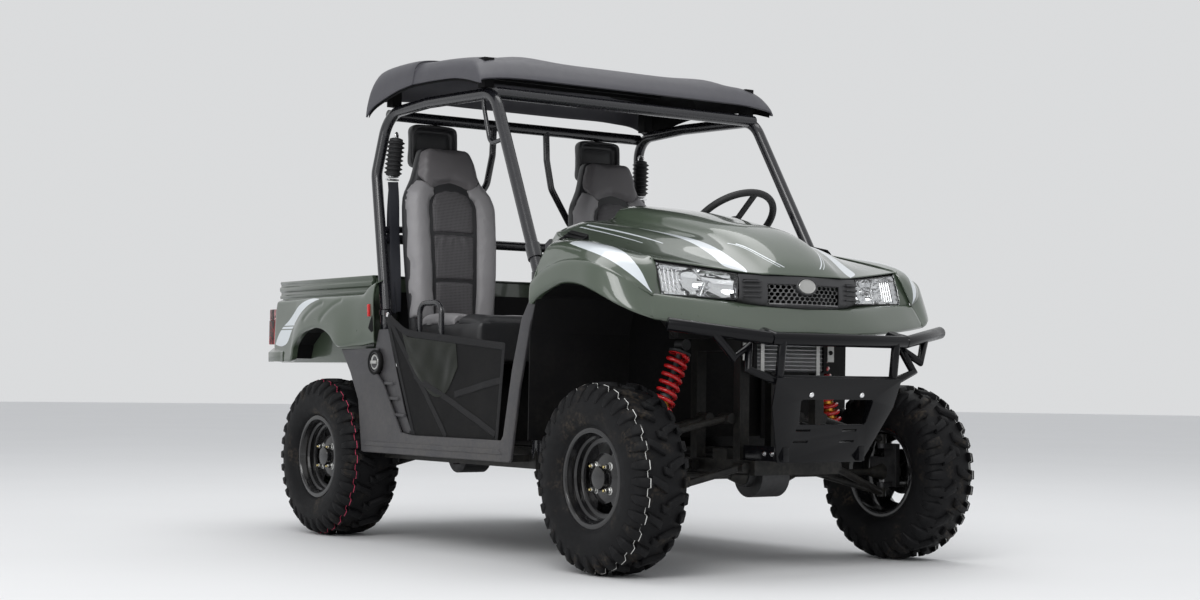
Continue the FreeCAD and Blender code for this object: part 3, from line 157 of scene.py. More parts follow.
def group_tree(name, sockets):
    """A shader node group with (name, kind, 'IN' or 'OUT', default) sockets: its graph, inputs and ends."""
    tree = bpy.data.node_groups.new(name, "ShaderNodeTree")
    for label, kind, way, default in sockets:
        socket = tree.interface.new_socket(label, in_out=way + "PUT", socket_type="NodeSocket" + kind)
        if default is not None:
            socket.default_value = default
    return Graph(tree), tree.nodes.new("NodeGroupInput").outputs, tree.nodes.new("NodeGroupOutput").inputs


def road_dust():
    """Group: pale dust that settles low on the vehicle and in broken patches."""
    graph, given, ends = group_tree("road_dust", [
        ("Color", "Color", "IN", (0.1, 0.1, 0.1, 1)), ("Roughness", "Float", "IN", 0.4),
        ("Amount", "Float", "IN", 0.4), ("Dust", "Color", "IN", (0.30, 0.27, 0.22, 1)),
        ("Color", "Color", "OUT", None), ("Roughness", "Float", "OUT", None)])
    place = graph.place()
    low = graph.step(graph.split(place)[2], 1.1, 0.1)
    patches = graph.times(graph.noise(place, 9.0, 6), graph.noise(place, 70.0))
    share = graph.times(graph.times(low, graph.step(patches, 0.12, 0.42)), given["Amount"])
    graph.put(ends, "Color", graph.mix(share, given["Color"], given["Dust"]))
    graph.put(ends, "Roughness", graph.blend(share, given["Roughness"], 0.85))
    return graph.tree


def edge_wear_and_highlight():
    """Group: a mask along the edges of a part, broken up by noise, that marks wear and painted edge
    highlights, and a normal that rounds them.
    """
    graph, given, ends = group_tree("edge_wear_and_highlight", [
        ("Radius", "Float", "IN", 0.003), ("Share", "Float", "IN", 0.5),
        ("Mask", "Float", "OUT", None), ("Normal", "Vector", "OUT", None)])
    rounded = graph.node("ShaderNodeBevel", 0, {"Radius": given["Radius"]}, samples=4)
    flat = graph.node("ShaderNodeNewGeometry", 1)
    turn = graph.node("ShaderNodeVectorMath", 1, {0: rounded, 1: flat}, operation="DOT_PRODUCT")
    broken = graph.step(graph.noise(graph.place(), 160.0, 4), 0.35, 0.7)
    graph.put(ends, "Mask", graph.times(graph.times(graph.step(turn, 0.97, 0.8), broken), given["Share"]))
    graph.put(ends, "Normal", rounded)
    return graph.tree


def mould_grain():
    """Group: the pebbled skin of moulded plastic, rubber and vinyl, as a normal."""
    graph, given, ends = group_tree("mould_grain", [
        ("Scale", "Float", "IN", 900.0), ("Depth", "Float", "IN", 0.0003), ("Normal", "Vector", "IN", None),
        ("Normal", "Vector", "OUT", None)])
    place = graph.place()
    cells = graph.node("ShaderNodeTexVoronoi", 0, {"Vector": place, "Scale": given["Scale"]},
                       feature="SMOOTH_F1")
    height = graph.math("ADD", cells, graph.times(graph.noise(place, 1500.0, 2), 0.4))
    graph.put(ends, "Normal", graph.bump(height, 0.6, given["Depth"], given["Normal"]))
    return graph.tree


# The finishes of the vehicle, one after another


def material(name, **shader):
    """A new material's graph and shader inputs; shader holds plain socket values by name."""
    made = FINISHES[name] = bpy.data.materials.new(name)
    made.use_nodes = True
    surface = made.node_tree.nodes["Principled BSDF"].inputs
    for key, value in shader.items():
        surface[key.replace("_", " ").title().replace("Ior", "IOR")].default_value = value
    return Graph(made.node_tree), surface


def stripes(graph, bands):
    """1 inside the bands, each given as lower and upper edges: (along, across) points of the wrap map."""
    along, across = graph.wrap()
    mask = 0.0
    for edges in bands:
        sides = []
        for points in edges:
            curve = graph.tree.nodes[graph.node("ShaderNodeFloatCurve", 0, {"Value": along}).node.name]
            line = curve.mapping.curves[0]
            line.points[0].location, line.points[1].location = points[0], points[-1]
            for point in points[1:-1]:
                line.points.new(*point)
            curve.mapping.update()
            sides.append(curve.outputs[0])
        inside = graph.times(graph.between(across, *sides),
                             graph.between(along, edges[0][0][0], edges[0][-1][0]))
        mask = graph.math("MAXIMUM", mask, inside)
    return mask


def green_finish(name, bands=(), gaps=()):
    """Glossy moulded bodywork in the body colour, with pale stripes along the bands, cut by the gaps."""
    tint = bpy.context.scene.utv_finish
    graph, surface = material(name, coat_weight=1.0, coat_roughness=0.05)
    color = graph.mottle(2.2, 3.0, tint.body_colour, 0.82, 1.0)
    if bands:
        mask = stripes(graph, bands)
        for low, high in gaps:
            mask = graph.math("SUBTRACT", mask, graph.between(graph.wrap()[1], low, high))
        color = graph.mix(graph.math("MAXIMUM", mask, 0.0), color, rgb(*tint.stripe_colour))
    ripple = graph.bump(graph.noise(graph.place(), 420.0, 1), 0.08, 0.0004)
    graph.show(surface, color, graph.drift(30.0, 0.24, 0.36), ripple, 0.06)


def moulded_finish(name, color, rough, grain=0.0004, scale=900.0, dust=0.12, shine=0.5):
    """Moulded plastic or rubber skin with a pebbled grain, edges lightened for scuffs and as painted
    highlight, and a little dust.
    """
    graph, surface = material(name, specular_ior_level=shine)
    worn_lit_edges = graph.shared("edge_wear_and_highlight", Radius=0.002, Share=0.25)
    scuffed_and_lit = rgb(*(min(1.0, 2.2 * c + 0.03) for c in color))
    shade = graph.mix(worn_lit_edges["Mask"], graph.mottle(14.0, 5, color, 0.8, 1.2), scuffed_and_lit)
    skin = graph.shared("mould_grain", Scale=scale, Depth=grain, Normal=worn_lit_edges["Normal"])
    graph.show(surface, shade, graph.drift(45.0, rough - 0.06, rough + 0.08), skin["Normal"], dust)


def coated_finish(name, color, rough, coat=0.3, edge_colour=rgb(0.16, 0.15, 0.14), dust=0.12,
                  edge_share=0.12, shine=0.5):
    """Painted or powder-coated steel, with its own colour along its edges for chips and painted highlight.
    """
    graph, surface = material(name, coat_weight=coat, coat_roughness=0.12, specular_ior_level=shine)
    worn_lit_edges = graph.shared("edge_wear_and_highlight", Radius=0.0015, Share=edge_share)
    shade = graph.mix(worn_lit_edges["Mask"], graph.mottle(20.0, 4, color, 0.85, 1.15), edge_colour)
    peel = graph.bump(graph.noise(graph.place(), 320.0, 2), 0.012, 0.0003, worn_lit_edges["Normal"])
    graph.show(surface, shade, graph.drift(60.0, rough - 0.08, rough + 0.1, 4), peel, dust)


def metal_finish(name, color, rough, brushed=0.0):
    """Bare or plated metal with fine scratches and dull patches."""
    graph, surface = material(name, metallic=1.0)
    worn_lit_edges = graph.shared("edge_wear_and_highlight", Radius=0.0015, Share=0.3)
    drawn = graph.node("ShaderNodeMapping", 0, {"Vector": graph.place(), "Scale": (1, 1, 40)})
    scratches = graph.bump(graph.noise(drawn, 60.0, 4), brushed, 0.0003, worn_lit_edges["Normal"])
    graph.show(surface, graph.mottle(24.0, 5, color, 0.75, 1.0),
               graph.drift(50.0, rough * 0.7, min(1.0, rough * 1.4), 4), scratches)


def woven_finish(name, color, rough, thread, depth=0.0004, sheen=0.0):
    """Woven cloth or webbing: warp and weft from the wrap map, in metres."""
    graph, surface = material(name, sheen_weight=sheen, sheen_roughness=0.5, specular_ior_level=0.25)
    height = graph.times(*(graph.math("SINE", graph.times(way, math.tau / thread)) for way in graph.wrap()))
    shade = graph.mix(graph.step(height, 0.1, 0.9), graph.mottle(18.0, 5, color, 0.75, 1.25),
                      rgb(*(1.5 * c for c in color)))
    graph.show(surface, shade, rough, graph.bump(height, 0.5, depth), 0.02)


def vinyl_finish(name, color, rough, holes=0.0):
    """Seat vinyl: fine leather grain, and rows of perforations where holes is their spacing in metres."""
    graph, surface = material(name, coat_weight=0.08, coat_roughness=0.35)
    place = graph.place()
    shade = graph.mottle(12.0, 5, color, 0.85, 1.15)
    grain = graph.node("ShaderNodeTexVoronoi", 0, {"Vector": place, "Scale": 420.0})
    height = graph.math("ADD", graph.times(grain, 0.5), graph.noise(place, 1400.0, 2))
    if holes:
        cell = graph.node("ShaderNodeVectorMath", 0, {0: place, 1: (0, 1 / holes, 1 / holes)},
                          operation="MULTIPLY")
        cell = graph.node("ShaderNodeVectorMath", 0, {0: cell}, operation="FRACTION")
        away = graph.node("ShaderNodeVectorMath", 1, {0: cell, 1: (0, 0.5, 0.5)}, operation="DISTANCE")
        hole = graph.step(away, 0.30, 0.22)
        # the perforations are painted near black: painted shade inside each hole
        shade = graph.mix(hole, shade, rgb(0.004, 0.004, 0.004))
        height = graph.math("SUBTRACT", height, graph.times(hole, 2.0))
    graph.show(surface, shade, graph.drift(35.0, rough - 0.06, rough + 0.08),
               graph.bump(height, 0.35, 0.0005), 0.1)


def tyre_finish(name, line_color):
    """Tyre rubber, muddy in patches, with a thin worn line painted where its wrap map crosses zero."""
    graph, surface = material(name, specular_ior_level=0.18)
    place = graph.place()
    shade = graph.mix(graph.noise(place, 26.0, 6), rgb(0.002, 0.002, 0.0025), rgb(0.008, 0.008, 0.009))
    mud = graph.times(graph.step(graph.noise(place, 11.0, 6), 0.52, 0.72),
                      graph.step(graph.noise(place, 90.0, 4), 0.4, 0.65))
    shade = graph.mix(graph.times(mud, 0.35), shade, rgb(0.11, 0.085, 0.06))
    away = graph.math("ABSOLUTE", graph.wrap()[1])
    line = graph.times(graph.step(away, 0.0013, 0.0007), graph.step(graph.noise(place, 38.0), 0.3, 0.5))
    # lighter rubber along the lug edges: wear and painted edge highlight
    worn_lit_edges = graph.shared("edge_wear_and_highlight", Radius=0.002, Share=0.3)
    shade = graph.mix(worn_lit_edges["Mask"], graph.mix(line, shade, line_color), rgb(0.040, 0.038, 0.036))
    skin = graph.shared("mould_grain", Scale=650.0, Depth=0.0004, Normal=worn_lit_edges["Normal"])
    graph.show(surface, shade, graph.drift(40.0, 0.48, 0.72), skin["Normal"])


def glass_finish(name, color, rough):
    """Clear or tinted lamp plastic."""
    graph, surface = material(name, transmission_weight=1.0, ior=1.45)
    graph.show(surface, graph.mottle(40.0, 4, color, 0.94, 1.0), graph.drift(40.0, rough, rough + 0.04, 4),
               graph.bump(graph.noise(graph.place(), 130.0), 0.05, 0.0004))


def make_finishes():
    """Every material of the vehicle."""
    for build in (road_dust, edge_wear_and_highlight, mould_grain):
        GROUPS[build.__name__] = build()
    hood_bands = [
        ([(0.0, 0.625), (0.10, 0.60), (0.30, 0.595), (0.62, 0.61), (0.80, 0.625)],
         [(0.0, 0.635), (0.10, 0.70), (0.30, 0.685), (0.62, 0.65), (0.80, 0.63)]),
        ([(0.56, 0.775), (0.96, 0.745)], [(0.56, 0.782), (0.96, 0.775)]),
        ([(0.62, 0.84), (0.96, 0.82)], [(0.62, 0.846), (0.96, 0.84)]),
        ([(0.10, 0.16), (0.36, 0.40)], [(0.10, 0.172), (0.36, 0.418)]),
        ([(0.10, 0.20), (0.40, 0.46)], [(0.10, 0.208), (0.40, 0.470)]),
    ]
    green_finish("green_plain")
    green_finish("green_hood", hood_bands)
    green_finish("green_fender", [([(0.27, 0.80), (0.40, 0.745), (0.55, 0.70), (0.80, 0.66), (0.985, 0.60)],
                                   [(0.27, 0.93), (0.40, 0.94), (0.55, 0.90), (0.80, 0.80), (0.985, 0.61)])])
    green_finish("green_rear", [([(0.19, 0.25), (0.392, 0.25), (0.49, 0.483), (0.672, 0.743),
                                  (0.867, 0.857)],
                                 [(0.19, 0.253), (0.298, 0.473), (0.397, 0.573), (0.65, 0.85),
                                  (0.867, 0.86)])],
                 gaps=((0.452, 0.466), (0.497, 0.511)))
    moulded_finish("roof_plastic", (0.062, 0.061, 0.071), 0.44, grain=0.00035)
    moulded_finish("panel_plastic", (0.042, 0.041, 0.045), 0.42, grain=0.0003)
    moulded_finish("mesh_grey", (0.22, 0.22, 0.22), 0.35, grain=0.0001)
    moulded_finish("grille_plastic", (0.04, 0.04, 0.042), 0.42, grain=0.0002)
    # near black and dull, far darker than panel_plastic: black liner plastic with painted shade, for arches,
    # floors, undersides and recesses
    moulded_finish("shaded_liner_plastic", (0.004, 0.004, 0.0045), 0.6, grain=0.0003, dust=0.03, shine=0.15)
    moulded_finish("soft_rubber", (0.012, 0.012, 0.013), 0.55, grain=0.0002)
    moulded_finish("grip_foam", (0.016, 0.016, 0.017), 0.6, scale=700.0)
    coated_finish("black_tube", (0.010, 0.010, 0.013), 0.26, coat=0.6, dust=0.03)
    coated_finish("bumper_black", (0.004, 0.004, 0.005), 0.2, coat=0.2, dust=0.0,
                  edge_share=0.03, shine=0.12)
    coated_finish("chassis_black", (0.006, 0.006, 0.006), 0.42, coat=0.05, dust=0.07, shine=0.25)
    coated_finish("rim_black", (0.005, 0.005, 0.006), 0.16, coat=0.55, dust=0.03, shine=0.35)
    coated_finish("spring_red", (0.62, 0.012, 0.016), 0.22, coat=0.6, edge_colour=rgb(0.3, 0.02, 0.02), dust=0.1)
    coated_finish("release_red", (0.60, 0.010, 0.012), 0.3)
    metal_finish("cast_dark", (0.09, 0.09, 0.092), 0.55, 0.3)
    metal_finish("zinc_steel", (0.62, 0.62, 0.60), 0.32, 0.2)
    metal_finish("brass_tip", (0.80, 0.66, 0.30), 0.25)
    metal_finish("exhaust_steel", (0.13, 0.12, 0.11), 0.5, 0.3)
    metal_finish("damper_amber", (0.75, 0.36, 0.06), 0.3)
    metal_finish("chrome", (0.92, 0.92, 0.93), 0.04)
    metal_finish("core_alloy", (0.55, 0.55, 0.56), 0.42, 0.3)
    woven_finish("webbing", (0.014, 0.015, 0.020), 0.5, 0.0024, sheen=0.05)
    woven_finish("net_strap", (0.008, 0.008, 0.009), 0.6, 0.0024)
    woven_finish("net_cloth", (0.004, 0.004, 0.0045), 0.8, 0.0022, depth=0.0005)
    vinyl_finish("vinyl_grey", (0.27, 0.262, 0.268), 0.5)
    vinyl_finish("vinyl_black", (0.020, 0.020, 0.022), 0.45)
    vinyl_finish("vinyl_pierced", (0.10, 0.095, 0.10), 0.55, holes=0.006)
    vinyl_finish("vinyl_head", (0.125, 0.118, 0.122), 0.5)
    moulded_finish("vinyl_window", (0.007, 0.009, 0.005), 0.22, grain=0.0001, scale=60.0,
                   dust=0.0, shine=0.2)
    tyre_finish("tyre_front", rgb(0.75, 0.75, 0.72))
    tyre_finish("tyre_rear", rgb(0.62, 0.07, 0.14))
    glass_finish("lamp_glass", (0.97, 0.98, 0.98), 0.0)
    glass_finish("tail_red", (0.72, 0.006, 0.010), 0.05)
    glass_finish("tail_pale", (0.90, 0.45, 0.45), 0.05)


# Drawing tools: points in mm, drawn into one mesh a piece


def curve_through(points, spans=4, sharp=()):
    """Points on a smooth curve through the given ones, which keeps a corner at the sharp indices."""
    points = np.asarray(points, float)
    out = [points[0]]
    last = len(points) - 1
    for i in range(last):
        here, ahead = points[i], points[i + 1]
        before = 2 * here - ahead if i == 0 or i in sharp else points[i - 1]
        after = 2 * ahead - here if i + 1 == last or i + 1 in sharp else points[i + 2]
        for k in range(1, spans + 1):
            t = k / spans
            out.append(0.5 * (2 * here + (ahead - before) * t
                              + (2 * before - 5 * here + 4 * ahead - after) * t ** 2
                              + (3 * here - before - 3 * ahead + after) * t ** 3))
    return np.array(out)


def surface(rows, along=4, across=4, sharp_rows=(), sharp_cols=(), relax=0):
    """A fine grid through a coarse one, smooth except along the sharp rows and columns, then relaxed."""
    rows = np.asarray(rows, float)
    fine = np.array([curve_through(row, across, sharp_cols) for row in rows])
    fine = np.array([curve_through(fine[:, j], along, sharp_rows)
                     for j in range(fine.shape[1])]).transpose(1, 0, 2)
    for _ in range(relax):
        inner = (fine[:-2, 1:-1] + fine[2:, 1:-1] + fine[1:-1, :-2] + fine[1:-1, 2:]) / 4
        fine[1:-1, 1:-1] = inner
        fine[0, 1:-1] = (fine[0, :-2] + 2 * fine[0, 1:-1] + fine[0, 2:]) / 4
        fine[-1, 1:-1] = (fine[-1, :-2] + 2 * fine[-1, 1:-1] + fine[-1, 2:]) / 4
    return fine


def bent(points, bend=60, arc=6):
    """A line of straight runs joined by tangent arcs."""
    points = [Vector(p) for p in points]
    line = [points[0]]
    for before, corner, after in zip(points, points[1:], points[2:]):
        back, ahead = (before - corner).normalized(), (after - corner).normalized()
        half = (math.pi - back.angle(ahead)) / 2
        if half < 0.02:
            line.append(corner)
            continue
        cut = min(bend * math.tan(half), 0.48 * min((before - corner).length, (after - corner).length))
        radius = cut / math.tan(half)
        centre = corner + (back + ahead).normalized() * (radius / math.cos(half))
        first, last = corner + back * cut, corner + ahead * cut
        for k in range(arc + 1):
            t = k / arc
            line.append(centre + (first - centre).slerp(last - centre, t)
                        if 0 < t < 1 else (last if t else first))
    line.append(points[-1])
    return np.array([tuple(p) for p in line])


def turns(count):
    """The cosine and sine of equal steps round a circle."""
    return [(math.cos(math.tau * k / count), math.sin(math.tau * k / count)) for k in range(count)]


def rounded(value, power):
    """A cosine or sine raised to a power, which squares a circle's corners."""
    return np.sign(value) * abs(value) ** power


# Puts what is drawn round the drawing's own origin at the row frame's origin
TO_ORIGIN = Matrix.Translation((-MID_X / 1000, 0, 0))


def placed(name, data):
    """A new object in the scene."""
    made = bpy.data.objects.new(name, data)
    bpy.context.scene.collection.objects.link(made)
    return made


def baked(made):
    """A new mesh of an object as its modifiers leave it."""
    return bpy.data.meshes.new_from_object(made.evaluated_get(bpy.context.evaluated_depsgraph_get()))


class Draft:
    """The geometry of one piece, drawn in mm from the middle of the wheelbase."""

    def __init__(self):
        self.mesh = bmesh.new()
        self.wrap = self.mesh.loops.layers.uv.new("wrap")

    def grid(self, points, finish=0, loop_rows=False, loop_cols=False, flip=False, share=False):
        """Faces through a grid of points; share gives the wrap map as shares of the grid, else in metres."""
        points = np.asarray(points, float)
        rows, cols = points.shape[:2]
        if share:
            along, across = np.linspace(0, 1, rows + loop_rows), np.linspace(0, 1, cols + loop_cols)
        else:
            steps = (np.linalg.norm(np.diff(line, axis=0, append=line[:1]), axis=1)
                     for line in (points[rows // 2], points[:, cols // 2]))
            across, along = (np.r_[0, np.cumsum(step)] / 1000 for step in steps)
        verts = [[self.mesh.verts.new(at(*p)) for p in row] for row in points]
        for i in range(rows - (not loop_rows)):
            for j in range(cols - (not loop_cols)):
                i2, j2 = (i + 1) % rows, (j + 1) % cols
                corners = [(verts[i][j], along[i], across[j]), (verts[i][j2], along[i], across[j + 1]),
                           (verts[i2][j2], along[i + 1], across[j + 1]),
                           (verts[i2][j], along[i + 1], across[j])]
                self.face(corners[::-1] if flip else corners, finish)
        return verts

    def face(self, corners, finish=0):
        """One face from (vertex, along, across) corners."""
        made = self.mesh.faces.new([c[0] for c in corners])
        made.material_index = finish
        for loop, (_, u, v) in zip(made.loops, corners):
            loop[self.wrap].uv = (u, v)

    def loft(self, rings, finish=0, caps=True):
        """A closed body through closed rings of points."""
        verts = self.grid(rings, finish, loop_cols=True)
        for ring in (verts[0], verts[-1][::-1]) if caps else ():
            self.face([(v, v.co.x, v.co.z) for v in ring], finish)

    def tube(self, line, radius, finish=0, sides=14, caps=True):
        """A round bar along a line of points."""
        line = [Vector(p) for p in line]
        heads = [(b - a).normalized() for a, b in zip(line, line[1:])]
        heads = [heads[0]] + [(a + b).normalized() for a, b in zip(heads, heads[1:])] + [heads[-1]]
        side = heads[0].orthogonal().normalized()
        rings = []
        for point, head in zip(line, heads):
            side = (side - head * side.dot(head)).normalized()
            up = head.cross(side)
            rings.append([tuple(point + (side * c + up * s) * radius) for c, s in turns(sides)])
        self.loft(rings, finish, caps)

    def lathe(self, profile, centre=(0, 0, 0), axis=(0, 0, 1), finish=0, sides=48, ring=False):
        """A turned body: profile is (radius, distance along axis) pairs, round centre."""
        axis, centre = Vector(axis).normalized(), Vector(centre)
        side = axis.orthogonal().normalized()
        up = axis.cross(side)
        rings = [[tuple(centre + axis * w + (side * c + up * s) * r) for r, w in profile] for c,
                 s in turns(sides)]
        self.grid(rings, finish, loop_rows=True, loop_cols=ring)

    def block(self, low, high, finish=0):
        """A plain block between two corners, for a bevel to finish."""
        (x0, y0, z0), (x1, y1, z1) = low, high
        self.loft([[(x, y0, z0), (x, y1, z0), (x, y1, z1), (x, y0, z1)] for x in (x0, x1)], finish)

    def prism(self, outline, move, finish=0):
        """A flat outline of points drawn out along a move."""
        outline = np.array(outline, float)
        self.loft([outline, outline + move], finish)

    def add(self, mesh, matrix=Matrix(), finish=0):
        """Geometry of another mesh, already in metres."""
        faces, verts = len(self.mesh.faces), len(self.mesh.verts)
        self.mesh.from_mesh(mesh)
        self.mesh.faces.ensure_lookup_table()
        self.mesh.verts.ensure_lookup_table()
        for new in self.mesh.faces[faces:]:
            new.material_index = finish
        bmesh.ops.transform(self.mesh, matrix=matrix, verts=self.mesh.verts[verts:])

    def move(self, matrix):
        """Moves all that is drawn so far."""
        bmesh.ops.transform(self.mesh, matrix=matrix, verts=self.mesh.verts)

    def cut(self, inside):
        """Takes out the faces whose middle, in metres in the row frame, lies inside."""
        faces = [face for face in self.mesh.faces if inside(face.calc_center_median())]
        bmesh.ops.delete(self.mesh, geom=faces, context="FACES")

    def mirror(self):
        """Adds the same geometry on the vehicle's other side."""
        mesh = self.mesh
        twin = bmesh.ops.duplicate(mesh, geom=mesh.verts[:] + mesh.edges[:] + mesh.faces[:])["geom"]
        for part in twin:
            if isinstance(part, bmesh.types.BMVert):
                part.co.y = -part.co.y
        bmesh.ops.reverse_faces(mesh, faces=[part for part in twin if isinstance(part, bmesh.types.BMFace)])

    def object(self, name, wall=0.0, bevel=0.0, segments=2, levels=0, shut=True, smooth=38, limit=32):
        """The drawn mesh as a new object: joined up, given its wall, bevelled, subdivided and applied."""
        bmesh.ops.remove_doubles(self.mesh, verts=self.mesh.verts, dist=2e-6)
        bmesh.ops.dissolve_degenerate(self.mesh, edges=self.mesh.edges, dist=1e-6)
        if shut:
            bmesh.ops.recalc_face_normals(self.mesh, faces=self.mesh.faces)
        mesh = bpy.data.meshes.new(name)
        self.mesh.to_mesh(mesh)
        self.mesh.free()
        made = placed(name, mesh)
        if wall:
            shell = made.modifiers.new("wall", "SOLIDIFY")
            shell.thickness, shell.offset, shell.use_even_offset = wall / 1000, -1, False
        if bevel:
            round_off = made.modifiers.new("bevel", "BEVEL")
            round_off.width, round_off.segments = bevel / 1000, segments
            round_off.limit_method, round_off.angle_limit = "ANGLE", math.radians(limit)
        if levels:
            fine = made.modifiers.new("fine", "SUBSURF")
            fine.levels = fine.render_levels = levels
        return settle(made, smooth)


def settle(made, smooth=38):
    """Applies an object's modifiers and shades it smooth up to an angle."""
    if made.modifiers:
        applied = baked(made)
        made.modifiers.clear()
        old, made.data = made.data, applied
        bpy.data.meshes.remove(old)
    made.data.polygons.foreach_set("use_smooth", [True] * len(made.data.polygons))
    made.data.set_sharp_from_angle(angle=math.radians(smooth))
    return made


def dress(made, finishes, *nodes, body="chassis"):
    """Gives a piece its finishes and its body, and hides the nodes it stands for."""
    for finish in finishes:
        made.data.materials.append(FINISHES[finish])
    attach(made, body)
    if nodes:
        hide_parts(*nodes)
    return made


# Growth: Geometry Nodes trees for what repeats


def growth_tree(name, sockets, grow):
    """A tree with (name, kind, default) inputs, which makes real and paints what grow puts out."""
    tree = bpy.data.node_groups.new(name, "GeometryNodeTree")
    tree.is_modifier = True
    tree.interface.new_socket("Geometry", in_out="OUTPUT", socket_type="NodeSocketGeometry")
    for label, kind, default in sockets + [("Finish", "Material", None)]:
        socket = tree.interface.new_socket(label, in_out="INPUT", socket_type="NodeSocket" + kind)
        if default is not None:
            socket.default_value = default
    graph, given = Graph(tree), tree.nodes.new("NodeGroupInput").outputs
    real = graph.node("GeometryNodeRealizeInstances", 0, {0: grow(graph, given)})
    painted = graph.node("GeometryNodeSetMaterial", 0, {"Geometry": real, "Material": given["Finish"]})
    graph.put(tree.nodes.new("NodeGroupOutput").inputs, 0, painted)
    return tree


def copies(graph, given, **where):
    """Copies of the given piece on points."""
    piece = graph.node("GeometryNodeObjectInfo", "Geometry", {"Object": given["Piece"]})
    return graph.node("GeometryNodeInstanceOnPoints", 0, {"Instance": piece, **where})


def ring_tree():
    """Copies of a piece turned round Z."""
    def grow(graph, given):
        share = graph.math("DIVIDE", graph.node("GeometryNodeInputIndex"), given["Count"])
        angle = graph.math("ADD", graph.times(share, math.tau), given["Phase"])
        return copies(graph, given, Points=graph.node("GeometryNodePoints", 0, {"Count": given["Count"]}),
                      Rotation=graph.node("ShaderNodeCombineXYZ", 0, {2: angle}))
    return growth_tree("ring_of_pieces",
                       [("Piece", "Object", None), ("Count", "Int", 8), ("Phase", "Float", 0.0)],
                       grow)


def spots_tree():
    """Copies of a piece on the vertices of another mesh, each turned by that vertex's stored angles."""
    def grow(graph, given):
        spots = graph.node("GeometryNodeObjectInfo", "Geometry", {"Object": given["Spots"]})
        turn = graph.node("GeometryNodeInputNamedAttribute", 0, {"Name": "turn"}, data_type="FLOAT_VECTOR")
        return copies(graph, given, Points=spots, Rotation=turn)
    return growth_tree("pieces_on_spots", [("Piece", "Object", None), ("Spots", "Object", None)], grow)


def row_tree():
    """Copies of a piece in a straight row."""
    def grow(graph, given):
        line = graph.node("GeometryNodeMeshLine", 0, {"Count": given["Count"], "Offset": given["Spacing"]})
        return copies(graph, given, Points=line)
    return growth_tree("row_of_pieces", [("Piece", "Object", None), ("Count", "Int", 5),
                                         ("Spacing", "Vector", (0, 0, 0.01))], grow)


def coil_tree():
    """A coil spring's wire, standing on the origin."""
    def grow(graph, given):
        line = graph.node("GeometryNodeCurveSpiral", 0, {
            "Resolution": 26, "Rotations": given["Turns"], "Start Radius": given["Radius"],
            "End Radius": given["Radius"], "Height": given["Height"]})
        profile = graph.node("GeometryNodeCurvePrimitiveCircle", 0,
                             {"Resolution": 10, "Radius": given["Wire"]})
        return graph.node("GeometryNodeCurveToMesh", 0,
                          {"Curve": line, "Profile Curve": profile, "Fill Caps": True})
    return growth_tree("coil_spring",
                       [("Turns", "Float", 8.0), ("Radius", "Float", 0.033), ("Wire", "Float", 0.0055),
                                       ("Height", "Float", 0.2)], grow)


TREES = {}


def grown(tree, **settings):
    """The mesh that a tree grows with these settings, named by its inputs."""
    holder = placed("grown", bpy.data.meshes.new("grown"))
    growth = holder.modifiers.new("growth", "NODES")
    growth.node_group = TREES[tree]
    for socket in TREES[tree].interface.items_tree:
        if socket.in_out == "INPUT" and socket.name in settings:
            growth[socket.identifier] = settings[socket.name]
    holder.data.update()
    mesh = baked(holder)
    bpy.data.objects.remove(holder)
    return mesh


def seed_piece(draft, **finish):
    """A drawn piece to be repeated: drawn round the origin, in mm."""
    made = draft.object("seed", **finish)
    made.data.transform(TO_ORIGIN)
    return made


def on_spots(draft, seed, spots, finish=0):
    """Adds copies of a seed piece to a draft at the spots: (point in mm, the way it looks) pairs."""
    mesh = bpy.data.meshes.new("spots")
    mesh.from_pydata([tuple(at(*point)) for point, _ in spots], [], [])
    turn = mesh.attributes.new("turn", "FLOAT_VECTOR", "POINT")
    for item, (_, look) in zip(turn.data, spots):
        item.vector = tuple(Vector(look).to_track_quat("Z", "Y").to_euler())
    where = placed("spots", mesh)
    draft.add(grown("spots", Piece=seed, Spots=where), finish=finish)
    drop(where, seed)


def drop(*objects):
    """Removes objects that are no longer needed."""
    for made in objects:
        bpy.data.objects.remove(made)


def dome_seed(radius, height):
    """A domed bolt head, looking up Z."""
    draft = Draft()
    draft.lathe([(radius, 0), (radius, height * 0.35), (radius * 0.8, height * 0.75),
                 (radius * 0.42, height),
                 (0, height)], sides=16)
    return seed_piece(draft, shut=False)


def bolt_seed(radius, height, washer=1.2):
    """A hexagon bolt head on its washer, looking up Z."""
    draft = Draft()
    draft.lathe([(radius * 1.35, 0), (radius * 1.35, washer), (radius, washer)], sides=16)
    draft.lathe([(radius, washer), (radius, height), (radius * 0.72, height + 0.8), (0, height + 0.8)],
                sides=6)
    return seed_piece(draft, shut=False)


# Wheels


WHEELS = [
    # corner, body, axle, side, middle of the tyre, tyre width
    ("front_left", "wheel_front_left", HALF_BASE, 1, 647.5, 215),
    ("front_right", "wheel_front_right", HALF_BASE, -1, 647.5, 215),
    ("rear_left", "wheel_rear_left", -HALF_BASE, 1, 630, 250),
    ("rear_right", "wheel_rear_right", -HALF_BASE, -1, 630, 250),
]
HUB_HEIGHT = 317.5
# wall station: distance from the tyre's middle as a share of its half width, then the radius
CARCASS = [(0.0, 303), (0.3, 302), (0.56, 299), (0.76, 293), (0.88, 282), (0.96, 262), (0.995, 235),
           (0.98, 205), (0.9, 180), (0.79, 168)]
